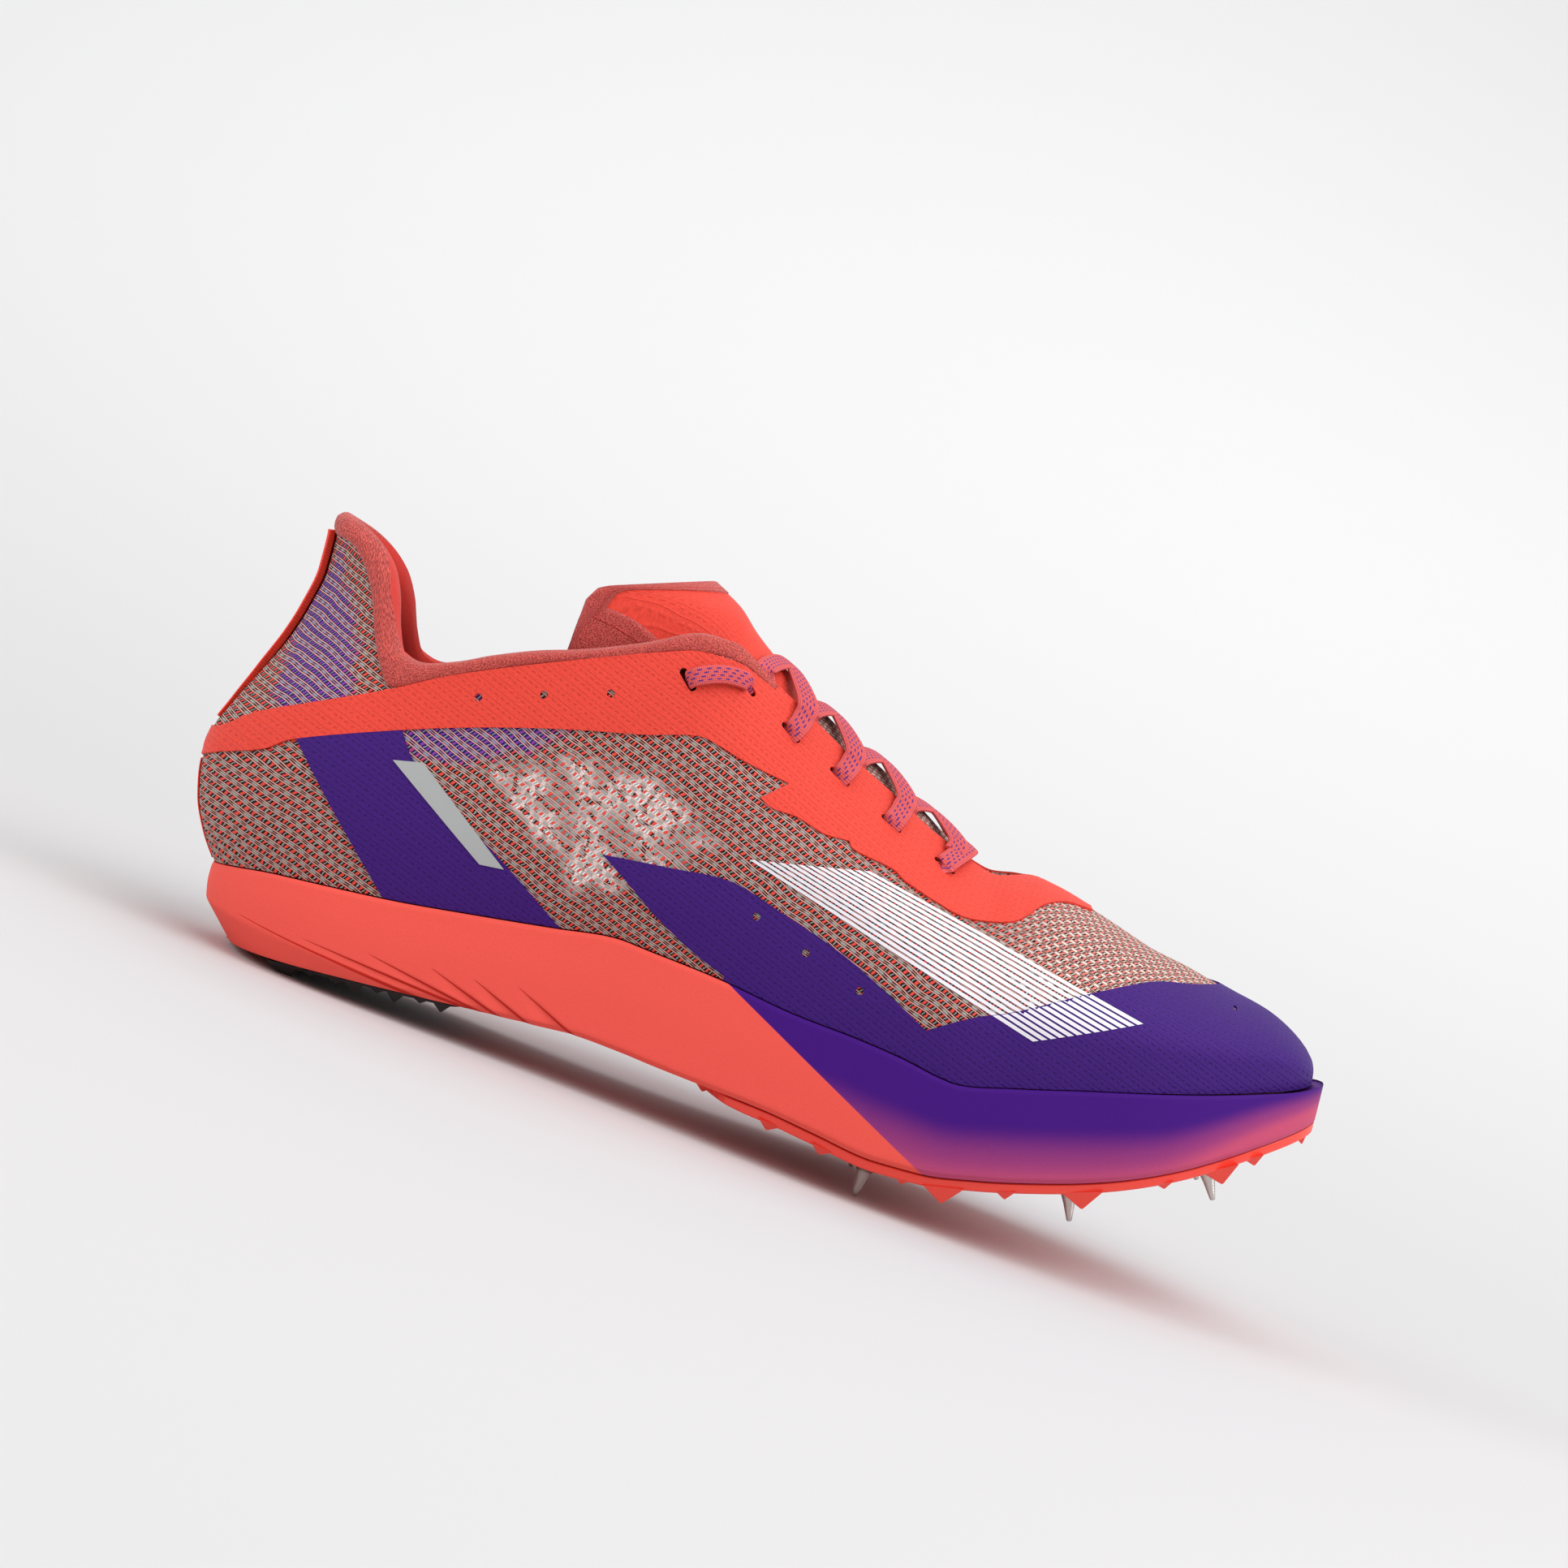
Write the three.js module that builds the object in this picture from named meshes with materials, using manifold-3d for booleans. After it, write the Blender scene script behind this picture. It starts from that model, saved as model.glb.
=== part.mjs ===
// Cross country running shoe, the right one of a pair. Millimetres, +X toe, -Y lateral, +Z up.
// The shoe is drawn in the last's own frame, heel seat level.
// Then it is tipped onto its rear lugs and rear pins.
import * as THREE from 'three';
import { mergeVertices } from 'three/addons/utils/BufferGeometryUtils.js';
import Module from 'manifold-3d';

const wasm = await Module();
wasm.setup();

// Sizes that can be set by themselves.
const sole_length = 285.4;      // heel to toe of the midsole rim
const ball_width = 94;          // outside of the upper across the ball
const sole_height = 25;         // tallest side wall of the midsole, at the arch
const collar_height = 92.3;     // heel seat to the tip of the heel tab
const heel_curve = 9.1;         // how far the heel bulges behind its own feather line
const heel_round = 33;          // length of the heel's half ellipse in plan
const toe_round = 55;           // length of the toe's half ellipse in plan
const toe_crown = 22;           // length over which the toe box rounds down
const toe_rim = 3.2;            // midsole rim ahead of the upper
const side_rim = 1.5;           // midsole rim beside the upper
const wall = 1.5;               // fabric of the upper
const collar_pad = 2.9;         // foam behind the fabric at the collar
const film = 0.6;               // bonded overlays
const gap = 0.3;                // between bonded or stacked pieces
const ledge = 0.5;              // the bed's ledge below the feather line
const footbed_dish = 3.4;       // how deep the bed lies inside the rim
const insole_lip = 1.3;         // insole above the feather line
const heel_bevel = 8.2;         // slope under the back of the heel
const bevel_height = 9.2;       // where that slope starts
const edge_round = 1.3;         // lower edge of the midsole ahead of the bevel
const rib_depth = 1.7;          // step under each rib of the midsole side
const rib_fade = 7.5;           // width over which the step comes back out
const plate = 2.5;              // outsole plate under the forefoot
const plate_margin = 0.8;       // plate inside the midsole's lower edge
const rubber = 1.1;             // heel rubber pad
const pin_length = 7.4;
const pin_root = 2.3;
const pin_tip = 0.65;
const pin_flange = 4.3;
const flange_height = 1.1;
const strip_width = 9;          // webbing up the centre back
const strip_thickness = 2;
const tongue_thickness = 2.2;
const lace_width = 5.6;
const lace_thickness = 1.2;
const lace_lift = 0.4;          // lace above what it crosses
const slot_length = 6.4;
const slot_width = 2;

const half = ball_width / 2;
const upper_length = sole_length - toe_rim;
// places along the shoe, as shares of the length
const throat_end = 0.7;         // where the opening closes
const horn = 0.392;             // where the collar stands highest beside the tongue
const flex = 0.67;              // where the feather line turns up

// Section tables, in shares of the sizes above.
// at, lateral, medial: shares of length and of half the ball width; height: share of sole_height
const FEATHER = [
  { at: 0, height: 0.74, lateral: 0.6, medial: 0.6 },
  { at: 0.07, height: 0.84, lateral: 0.63, medial: 0.63 },
  { at: 0.17, height: 0.87, lateral: 0.66, medial: 0.65 },
  { at: 0.24, height: 0.92, lateral: 0.66, medial: 0.62 },
  { at: 0.31, height: 0.98, lateral: 0.665, medial: 0.565 },
  { at: 0.36, height: 1.03, lateral: 0.69, medial: 0.54 },
  { at: 0.395, height: 0.985, lateral: 0.725, medial: 0.54 },
  { at: 0.455, height: 0.895, lateral: 0.79, medial: 0.58 },
  { at: 0.525, height: 0.745, lateral: 0.87, medial: 0.7 },
  { at: 0.58, height: 0.67, lateral: 0.925, medial: 0.8 },
  { at: 0.62, height: 0.595, lateral: 0.955, medial: 0.86 },
  { at: 0.655, height: 0.5, lateral: 0.97, medial: 0.9 },
  { at: 0.67, height: 0.476, lateral: 0.975, medial: 0.91 },
  { at: 0.72, height: 0.568, lateral: 0.97, medial: 0.93 },
  { at: 0.78, height: 0.7, lateral: 0.93, medial: 0.92 },
  { at: 0.875, height: 0.888, lateral: 0.84, medial: 0.85 },
  { at: 0.93, height: 1, lateral: 0.77, medial: 0.79 },
  { at: 0.965, height: 1.07, lateral: 0.73, medial: 0.76 },
  { at: 1, height: 1.165, lateral: 0.7, medial: 0.74 },
];
// widest line of the upper; height above the feather as a share of collar_height
const BELLY = [
  { at: 0, height: 0.27, lateral: 0.64, medial: 0.64 },
  { at: 0.07, height: 0.27, lateral: 0.69, medial: 0.69 },
  { at: 0.14, height: 0.26, lateral: 0.72, medial: 0.71 },
  { at: 0.21, height: 0.25, lateral: 0.735, medial: 0.69 },
  { at: 0.28, height: 0.24, lateral: 0.75, medial: 0.66 },
  { at: 0.35, height: 0.23, lateral: 0.77, medial: 0.65 },
  { at: 0.4, height: 0.22, lateral: 0.795, medial: 0.66 },
  { at: 0.455, height: 0.2, lateral: 0.835, medial: 0.69 },
  { at: 0.525, height: 0.18, lateral: 0.9, medial: 0.77 },
  { at: 0.595, height: 0.16, lateral: 0.965, medial: 0.88 },
  { at: 0.655, height: 0.15, lateral: 1, medial: 0.94 },
  { at: 0.72, height: 0.14, lateral: 1, medial: 0.965 },
  { at: 0.77, height: 0.13, lateral: 0.965, medial: 0.95 },
  { at: 0.84, height: 0.11, lateral: 0.89, medial: 0.89 },
  { at: 0.91, height: 0.09, lateral: 0.81, medial: 0.82 },
  { at: 1, height: 0.07, lateral: 0.74, medial: 0.76 },
];
// topline, throat edge and then the crest of the vamp
// opening: half the opening; lean: of the wall there in degrees
const EDGE = [
  { at: 0, height: 1, opening: 0.36, lean: -4 },
  { at: 0.035, height: 0.952, opening: 0.37, lean: -2 },
  { at: 0.07, height: 0.88, opening: 0.42, lean: 2 },
  { at: 0.088, height: 0.803, opening: 0.48, lean: 4 },
  { at: 0.1, height: 0.721, opening: 0.53, lean: 6 },
  { at: 0.115, height: 0.653, opening: 0.58, lean: 8 },
  { at: 0.139, height: 0.63, opening: 0.62, lean: 8 },
  { at: 0.172, height: 0.653, opening: 0.645, lean: 8 },
  { at: 0.2, height: 0.685, opening: 0.66, lean: 8 },
  { at: 0.24, height: 0.72, opening: 0.67, lean: 8 },
  { at: 0.27, height: 0.738, opening: 0.67, lean: 9 },
  { at: 0.33, height: 0.789, opening: 0.655, lean: 13 },
  { at: 0.385, height: 0.846, opening: 0.6, lean: 22 },
  { at: 0.4, height: 0.846, opening: 0.55, lean: 27 },
  { at: 0.413, height: 0.832, opening: 0.5, lean: 33 },
  { at: 0.449, height: 0.77, opening: 0.44, lean: 40 },
  { at: 0.484, height: 0.726, opening: 0.4, lean: 45 },
  { at: 0.523, height: 0.676, opening: 0.37, lean: 50 },
  { at: 0.566, height: 0.62, opening: 0.345, lean: 56 },
  { at: 0.609, height: 0.564, opening: 0.31, lean: 62 },
  { at: 0.646, height: 0.537, opening: 0.265, lean: 69 },
  { at: 0.67, height: 0.528, opening: 0.21, lean: 76 },
  { at: 0.688, height: 0.532, opening: 0.12, lean: 84 },
  { at: 0.7, height: 0.531, opening: 0, lean: 90 },
  { at: 0.726, height: 0.505, opening: 0, lean: 90 },
  { at: 0.76, height: 0.453, opening: 0, lean: 90 },
  { at: 0.793, height: 0.398, opening: 0, lean: 90 },
  { at: 0.825, height: 0.345, opening: 0, lean: 90 },
  { at: 0.857, height: 0.305, opening: 0, lean: 90 },
  { at: 0.889, height: 0.258, opening: 0, lean: 90 },
  { at: 0.92, height: 0.216, opening: 0, lean: 90 },
  { at: 0.945, height: 0.193, opening: 0, lean: 90 },
  { at: 1, height: 0.145, opening: 0, lean: 90 },
];
// back of the heel: height above the feather (share of collar_height), forward shift (share of heel_curve)
const BACK = [
  { at: 0, shift: -0.04 },
  { at: 0.07, shift: -0.48 },
  { at: 0.16, shift: -0.85 },
  { at: 0.25, shift: -0.99 },
  { at: 0.3, shift: -1 },
  { at: 0.35, shift: -0.91 },
  { at: 0.44, shift: -0.48 },
  { at: 0.54, shift: 0.08 },
  { at: 0.64, shift: 0.6 },
  { at: 0.74, shift: 0.95 },
  { at: 0.84, shift: 1.17 },
  { at: 0.93, shift: 1.19 },
  { at: 1, shift: 1.08 },
];
// centre line: how far the crest and the toe lie towards the medial side (share of half the ball width)
const MIDDLE = [
  { at: 0, shift: 0 },
  { at: 0.4, shift: 0 },
  { at: 0.53, shift: 0.05 },
  { at: 0.67, shift: 0.09 },
  { at: 0.85, shift: 0.12 },
  { at: 1, shift: 0.13 },
];
// underside of the midsole (share of sole_height)
const UNDERSIDE = [
  { at: 0, height: 0 },
  { at: 0.34, height: 0 },
  { at: 0.385, height: -0.045 },
  { at: 0.42, height: -0.1 },
  { at: 0.467, height: -0.165 },
  { at: 0.523, height: -0.245 },
  { at: 0.563, height: -0.33 },
  { at: 0.62, height: -0.445 },
  { at: 0.66, height: -0.456 },
  { at: 0.705, height: -0.395 },
  { at: 0.76, height: -0.28 },
  { at: 0.793, height: -0.195 },
  { at: 0.832, height: -0.066 },
  { at: 0.874, height: 0.108 },
  { at: 0.906, height: 0.268 },
  { at: 0.949, height: 0.504 },
  { at: 0.982, height: 0.684 },
  { at: 1, height: 0.785 },
];
// ribs of the midsole side: start and end of each upper edge (share of length, share of sole_height)
const RIBS = [
  { from: 0.102, high: 0.3, to: 0.262, low: 0 },
  { from: 0.16, high: 0.31, to: 0.276, low: -0.02 },
  { from: 0.215, high: 0.32, to: 0.288, low: -0.02 },
  { from: 0.253, high: 0.31, to: 0.315, low: -0.03 },
  { from: 0.291, high: 0.34, to: 0.355, low: -0.04 },
];
// side view outlines of the overlays: share of length, height above sole_height as a share of collar_height
const BAND_TOP = [
  [-0.08, 0.255], [-0.02, 0.29], [0.018, 0.36], [0.06, 0.415], [0.125, 0.5], [0.177, 0.578],
  [0.268, 0.685], [0.366, 0.785], [0.392, 0.795], [0.403, 0.86], [0.5, 0.99], [0.761, 0.99], [0.761, 0.353],
];
const BAND_LOWER = [
  [0.735, 0.362], [0.714, 0.345], [0.69, 0.29], [0.65, 0.272], [0.62, 0.295], [0.59, 0.33],
  [0.578, 0.352], [0.541, 0.38], [0.536, 0.398], [0.513, 0.402], [0.488, 0.428], [0.466, 0.436],
  [0.454, 0.455], [0.475, 0.507], [0.434, 0.537], [0.412, 0.56], [0.391, 0.574], [0.347, 0.545],
  [0.284, 0.512], [0.21, 0.462], [0.145, 0.406],
  [0.054, 0.312], [0.032, 0.27], [-0.012, 0.225], [-0.08, 0.14],
];
const FOREFOOT = [
  [0.336, 0.214], [0.392, 0.222], [0.446, 0.226], [0.492, 0.181], [0.55, 0.115], [0.6, 0.035],
  [0.634, -0.027], [0.67, 0.035], [0.7, 0.07], [0.762, 0.159], [0.815, 0.216], [0.86, 0.23],
  [0.897, 0.238], [0.905, 0.3], [1.1, 0.3], [1.1, -0.2],
  [0.46, -0.2], [0.4595, -0.02], [0.43, 0.02], [0.391, 0.09], [0.365, 0.15],
];
const HEEL_PANEL = [
  [0.058, 0.306], [0.1447, 0.395], [0.163, 0.33], [0.212, 0.22], [0.262, 0.115], [0.316, -0.01],
  [0.316, -0.2], [0.163, -0.2], [0.163, -0.04], [0.1, 0.15],
];
// eyelet slots: [share of length, height above sole_height as a share of collar_height], bottom pair first
const SLOTS = [
  [0.622, 0.385], [0.5685, 0.462], [0.516, 0.552], [0.4665, 0.636], [0.4215, 0.732], [0.371, 0.711],
];
// tongue rows from its toe end to its top
// x as shares of length, z above the sole height as shares of collar_height
const TONGUE = [
  { crest_x: 0.692, crest_z: 0.355, edge_x: 0.692, edge_z: 0.33, reach: 0.15, fore: 1, down: 1, tilt: 0 },
  { crest_x: 0.665, crest_z: 0.378, edge_x: 0.665, edge_z: 0.312, reach: 0.29, fore: 1, down: 1, tilt: 0 },
  { crest_x: 0.63, crest_z: 0.442, edge_x: 0.63, edge_z: 0.34, reach: 0.36, fore: 1, down: 1, tilt: 0 },
  { crest_x: 0.578, crest_z: 0.55, edge_x: 0.578, edge_z: 0.416, reach: 0.43, fore: 1, down: 0.82, tilt: 0 },
  { crest_x: 0.526, crest_z: 0.642, edge_x: 0.526, edge_z: 0.486, reach: 0.47, fore: 1, down: 0.74, tilt: 0 },
  { crest_x: 0.484, crest_z: 0.722, edge_x: 0.484, edge_z: 0.545,
    reach: 0.475, fore: 1, down: 0.74, tilt: 0 },
  { crest_x: 0.444, crest_z: 0.807, edge_x: 0.438, edge_z: 0.6, reach: 0.505, fore: 1, down: 0.9, tilt: 0 },
  { crest_x: 0.418, crest_z: 0.87, edge_x: 0.39, edge_z: 0.63, reach: 0.49, fore: 0.9, down: 1.4, tilt: 0 },
  { crest_x: 0.398, crest_z: 0.93, edge_x: 0.335, edge_z: 0.665,
    reach: 0.46, fore: 1, down: 4.9, tilt: 0.15 },
  { crest_x: 0.372, crest_z: 0.978, edge_x: 0.265, edge_z: 0.72,
    reach: 0.44, fore: 1, down: 27, tilt: 0.36 },
];
// lugs along the plate's edge: place (share of length), height, length and width in shares of lug_height
const lug_height = 4.2;
const LUGS = [
  { at: 0.465, tall: 0.3, long: 0.9 }, { at: 0.526, tall: 0.45, long: 1.3 },
  { at: 0.574, tall: 0.42, long: 1.3 }, { at: 0.646, tall: 0.3, long: 0.9 },
  { at: 0.681, tall: 0.95, long: 2.2 }, { at: 0.733, tall: 0.45, long: 1.1 },
  { at: 0.797, tall: 1, long: 2.2 }, { at: 0.865, tall: 0.35, long: 1 },
  { at: 0.912, tall: 0.95, long: 2 }, { at: 0.941, tall: 0.5, long: 1.1 },
];
const INNER_LUGS = [
  { at: 0.53, across: 0.3, tall: 0.8 }, { at: 0.58, across: 0.22, tall: 0.8 },
  { at: 0.66, across: 0.34, tall: 0.9 }, { at: 0.72, across: 0.2, tall: 0.9 },
  { at: 0.85, across: 0.28, tall: 0.9 },
];
// heel lugs in each row, from the back: the first one is a foot and ends flat on the floor plane
const heel_lug_height = 2.7;
const HEEL_LUGS = [
  { at: 0.088, tall: 0.8 }, { at: 0.113, tall: 0.35 }, { at: 0.135, tall: 0.6 }, { at: 0.152, tall: 1 },
  { at: 0.172, tall: 0.45 }, { at: 0.188, tall: 0.95 }, { at: 0.21, tall: 0.4 }, { at: 0.229, tall: 0.8 },
];
// pins: place and distance from the centre line (shares of length and half the ball width)
const PINS = [
  { at: 0.617, across: 0.56 }, { at: 0.79, across: 0.58 }, { at: 0.905, across: 0.38 },
];

// Small maths.
const clamp = (v, a, b) => Math.min(b, Math.max(a, v));
const smooth = (a, b, v) => {
  const t = clamp((v - a) / (b - a), 0, 1);
  return t * t * (3 - 2 * t);
};
const sum = (a, b, k = 1) => a.map((c, i) => c + k * b[i]);
const dot = (a, b) => a[0] * b[0] + a[1] * b[1] + a[2] * b[2];
const cross = (a, b) => [a[1] * b[2] - a[2] * b[1], a[2] * b[0] - a[0] * b[2], a[0] * b[1] - a[1] * b[0]];
const unit = (a) => {
  const n = Math.hypot(...a);
  return a.map((c) => c / n);
};
const between = (a, b, t) => a.map((c, i) => c + (b[i] - c) * t);

// a smooth curve through a table's column that never overshoots its rows
function column(table, key) {
  const x = table.map((r) => r.at);
  const y = table.map((r) => r[key]);
  const d = x.slice(1).map((v, i) => (y[i + 1] - y[i]) / (v - x[i]));
  const m = x.map((_, i) => {
    if (i === 0) return d[0];
    if (i === x.length - 1) return d[i - 1];
    return d[i - 1] * d[i] <= 0 ? 0 : (2 * d[i - 1] * d[i]) / (d[i - 1] + d[i]);
  });
  return (at) => {
    const v = clamp(at, x[0], x[x.length - 1]);
    let i = 0;
    while (i < x.length - 2 && v > x[i + 1]) i += 1;
    const h = x[i + 1] - x[i];
    const t = (v - x[i]) / h;
    return (2 * t ** 3 - 3 * t ** 2 + 1) * y[i] + (t ** 3 - 2 * t ** 2 + t) * h * m[i]
      + (3 * t ** 2 - 2 * t ** 3) * y[i + 1] + (t ** 3 - t ** 2) * h * m[i + 1];
  };
}
const columns = (table, ...keys) => Object.fromEntries(keys.map((key) => [key, column(table, key)]));
const feather = columns(FEATHER, 'height', 'lateral', 'medial');
const belly = columns(BELLY, 'height', 'lateral', 'medial');
const edge = columns(EDGE, 'height', 'opening', 'lean');
const back = column(BACK, 'shift');
const middle = column(MIDDLE, 'shift');
const underside = column(UNDERSIDE, 'height');
const seat = (at) => feather.height(at) * sole_height;
const sideOf = (side) => (side < 0 ? 'lateral' : 'medial');

// Closed skins.
class Skin {
  constructor() {
    this.points = [];
    this.known = new Map();
    this.faces = [];
  }
  vertex(p) {
    const key = p.map((c) => Math.round(c * 1e3)).join();
    if (!this.known.has(key)) {
      this.known.set(key, this.points.length);
      this.points.push(p);
    }
    return this.known.get(key);
  }
  triangle(a, b, c) {
    const [i, j, k] = [this.vertex(a), this.vertex(b), this.vertex(c)];
    if (i !== j && j !== k && k !== i) this.faces.push([i, j, k]);
  }
  quad(a, b, c, d) {
    this.triangle(a, b, c);
    this.triangle(a, c, d);
  }
  sheet(rows, flip = false) {
    for (let r = 0; r + 1 < rows.length; r += 1) {
      for (let c = 0; c + 1 < rows[r].length; c += 1) {
        const [p, q, s, t] = [rows[r][c], rows[r + 1][c], rows[r + 1][c + 1], rows[r][c + 1]];
        if (flip) this.quad(p, t, s, q);
        else this.quad(p, q, s, t);
      }
    }
  }
  cap(loop, flip = false) {
    const c = loop.reduce((a, p) => sum(a, p, 1 / loop.length), [0, 0, 0]);
    loop.forEach((p, i) => {
      const q = loop[(i + 1) % loop.length];
      if (flip) this.triangle(c, q, p);
      else this.triangle(c, p, q);
    });
  }
  solid() {
    let volume = 0;
    for (const [i, j, k] of this.faces) {
      volume += dot(this.points[i], cross(this.points[j], this.points[k]));
    }
    const faces = volume < 0 ? this.faces.map(([i, j, k]) => [i, k, j]) : this.faces;
    return new wasm.Manifold(new wasm.Mesh({
      numProp: 3,
      vertProperties: new Float32Array(this.points.flat()),
      triVerts: new Uint32Array(faces.flat()),
    }));
  }
}
// rings of points, the first and last closed by caps or by shrinking to a line
function tube(rings, ends = true) {
  const skin = new Skin();
  skin.sheet(rings.map((r) => [...r, r[0]]));
  if (ends) {
    skin.cap(rings[0]);
    skin.cap(rings[rings.length - 1], true);
  }
  return skin.solid();
}
function prism(outline, low, high, place = ([x, z], y) => [x, y, z]) {
  const skin = new Skin();
  const flatten = (list) => list.map(([x, z]) => new THREE.Vector2(x, z));
  const ccw = THREE.ShapeUtils.isClockWise(flatten(outline)) ? [...outline].reverse() : outline;
  const flat = flatten(ccw);
  for (const [i, j, k] of THREE.ShapeUtils.triangulateShape(flat, [])) {
    skin.triangle(place(ccw[i], low), place(ccw[j], low), place(ccw[k], low));
    skin.triangle(place(ccw[i], high), place(ccw[k], high), place(ccw[j], high));
  }
  ccw.forEach((p, i) => {
    const q = ccw[(i + 1) % ccw.length];
    skin.quad(place(p, low), place(p, high), place(q, high), place(q, low));
  });
  return skin.solid();
}
const block = (c, u, v, w, a, b, d) => {
  const at = (i, j, k) => sum(sum(sum(c, u, i * a), v, j * b), w, k * d);
  return tube([-1, 1].map((k) => [at(-1, -1, k), at(1, -1, k), at(1, 1, k), at(-1, 1, k)]));
};
const join = (list) => list.reduce((a, b) => a.add(b));

// Stations along the length, closer together at heel and toe.
const station_count = 34;
const crowding = 0.84;          // how much closer the stations lie at the ends
const tab_foot = [0.085, 0.1, 0.12, 0.145]; // places where the heel tab runs out into the collar
function stations() {
  const list = [];
  for (let i = 0; i <= station_count; i += 1) {
    const t = i / station_count;
    list.push(t - (crowding * Math.sin(2 * Math.PI * t)) / (2 * Math.PI));
  }
  const snap = (at) => {
    const target = (at * sole_length) / upper_length;
    let near = 0;
    list.forEach((s, i) => {
      if (Math.abs(s - target) < Math.abs(list[near] - target)) near = i;
    });
    list[near] = target;
    return near;
  };
  [flex, horn, ...tab_foot].forEach(snap);
  return { list, closed: snap(throat_end) };
}
const { list: STATIONS, closed: CLOSED } = stations();
// the sole's stations lie under the upper's, and part from them only at the toe
const part_from = 0.86;
const SOLE_STATIONS = STATIONS.map((s) => {
  const length = upper_length + (sole_length - upper_length) * smooth(part_from, 1, s);
  return (s * length) / sole_length;
});
const rounding = (length, reach) => {
  const a = clamp(length / reach, 0, 1);
  return Math.sqrt(1 - (1 - a) ** 2);
};

// The upper's form. An inset is inwards from the outside of the fabric.
const rows_up = 6;
const belly_share = 0.36;
const bezier = (a, b, c, d, t) => {
  const [p, q, r] = [between(a, b, t), between(b, c, t), between(c, d, t)];
  return between(between(p, q, t), between(q, r, t), t);
};
// the collar's foam runs out ahead of the horn, and fills in towards the topline
const foam_end = [0.415, 0.375];
const foam_rise = [0.7, 0.93];
const padAt = (at) => smooth(...foam_end, at);
const pad = (at, v) => collar_pad * padAt(at) * smooth(...foam_rise, v);
const roll_share = 0.35;        // of the foam that stands above the topline
const opening_turn = 8;         // half opening below which its inset no longer closes it
const heel_share = 0.2;         // of the length, over which the curve of the heel runs out
function form(s, v, side, inset = 0, extra = 0) {
  const base = s * upper_length;
  const at = base / sole_length;
  const round = rounding(base, heel_round) * rounding(upper_length - base, toe_round);
  const crown = rounding(upper_length - base, toe_crown);
  const name = sideOf(side);
  const low = seat(at);
  const lean = (edge.lean(at) * Math.PI) / 180;
  const opening = at >= throat_end ? 0 : edge.opening(at) * half;
  const d = inset + extra;
  const roll = roll_share * collar_pad * padAt(at);
  const f = [feather[name](at) * half - d, low];
  const b = [belly[name](at) * half - d, low + belly.height(at) * collar_height * crown];
  const t = [opening - d * Math.cos(lean) * clamp(opening / opening_turn, 0, 1),
    low + edge.height(at) * collar_height * crown - d * Math.sin(lean) - roll];
  const shift = middle(at) * half;
  const top_w = t[0];
  const reach = Math.hypot(b[0] - top_w, t[1] - b[1]);
  // two arcs, from the feather line out to the widest line and from there up to the edge
  const [rise, climb] = [b[1] - f[1], t[1] - b[1]];
  const [w, z] = v <= belly_share
    ? bezier(f, [f[0] + 0.6 * (b[0] - f[0]), f[1] + 0.35 * rise],
      [b[0], b[1] - 0.4 * rise], b, v / belly_share)
    : bezier(b, [b[0], b[1] + 0.45 * climb],
      [t[0] + 0.36 * reach * Math.sin(lean), t[1] - 0.36 * reach * Math.cos(lean)], t,
      (v - belly_share) / (1 - belly_share));
  // the crest lies towards the medial side and the plan narrows to it at heel and toe
  const y = shift + round * (side * w - shift * (1 - smooth(belly_share, 1, v)));
  const fall = clamp(1 - base / (sole_length * heel_share), 0, 1) ** 2;
  const x = d + (upper_length - 2 * d) * s + heel_curve * back((z - low) / collar_height) * fall;
  return [x, y, z];
}
// outer and inner are insets, or functions of the height up the section
function shellSolid(outer, inner, padded = false) {
  const skin = new Skin();
  const rowsOf = (side, inset, withPad) => STATIONS.map((s) => (
    Array.from({ length: rows_up + 1 }, (_, i) => {
      const v = i / rows_up;
      const at = (s * upper_length) / sole_length;
      return form(s, v, side, typeof inset === 'function' ? inset(v) : inset, withPad ? pad(at, v) : 0);
    })
  ));
  for (const side of [-1, 1]) {
    const out = rowsOf(side, outer, false);
    const inn = rowsOf(side, inner, padded);
    skin.sheet(out, side < 0);
    skin.sheet(inn, side > 0);
    // bottom edge and, as far as the opening goes, the rolled top edge
    skin.sheet(out.map((r, k) => [inn[k][0], r[0]]), side < 0);
    const rim = out.slice(0, CLOSED + 1).map((r, k) => {
      const a = r[rows_up];
      const c = inn[k][rows_up];
      if (!padded) return [a, c];
      const foam = k < CLOSED ? padAt((STATIONS[k] * upper_length) / sole_length) : 0;
      const m = sum(between(a, c, 0.5), [0, 0, 1], roll_share * collar_pad * foam);
      const shoulder = (p) => sum(between(p, m, 0.55), [0, 0, 1], 0.25 * (m[2] - p[2]));
      return [a, shoulder(a), m, shoulder(c), c];
    });
    skin.sheet(rim, side < 0);
  }
  return skin.solid();
}
// the point of the form's outside above a place of the side view, and the normal there
function onForm(x, z, side, offset = 0) {
  const s = clamp(x / upper_length, 0, 1);
  let [a, b] = [0, 1];
  for (let i = 0; i < 40; i += 1) {
    const m = (a + b) / 2;
    if (form(s, m, side)[2] < z) a = m;
    else b = m;
  }
  const p = form(s, a, side);
  const du = sum(form(s + 0.004, a, side), form(s - 0.004, a, side), -1);
  const dv = sum(form(s, Math.min(1, a + 0.01), side), form(s, a - 0.01, side), -1);
  const n = unit(cross(du, dv).map((c) => c * (side < 0 ? 1 : -1)));
  return { p: sum(p, n, offset), n, along: unit(du) };
}

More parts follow.
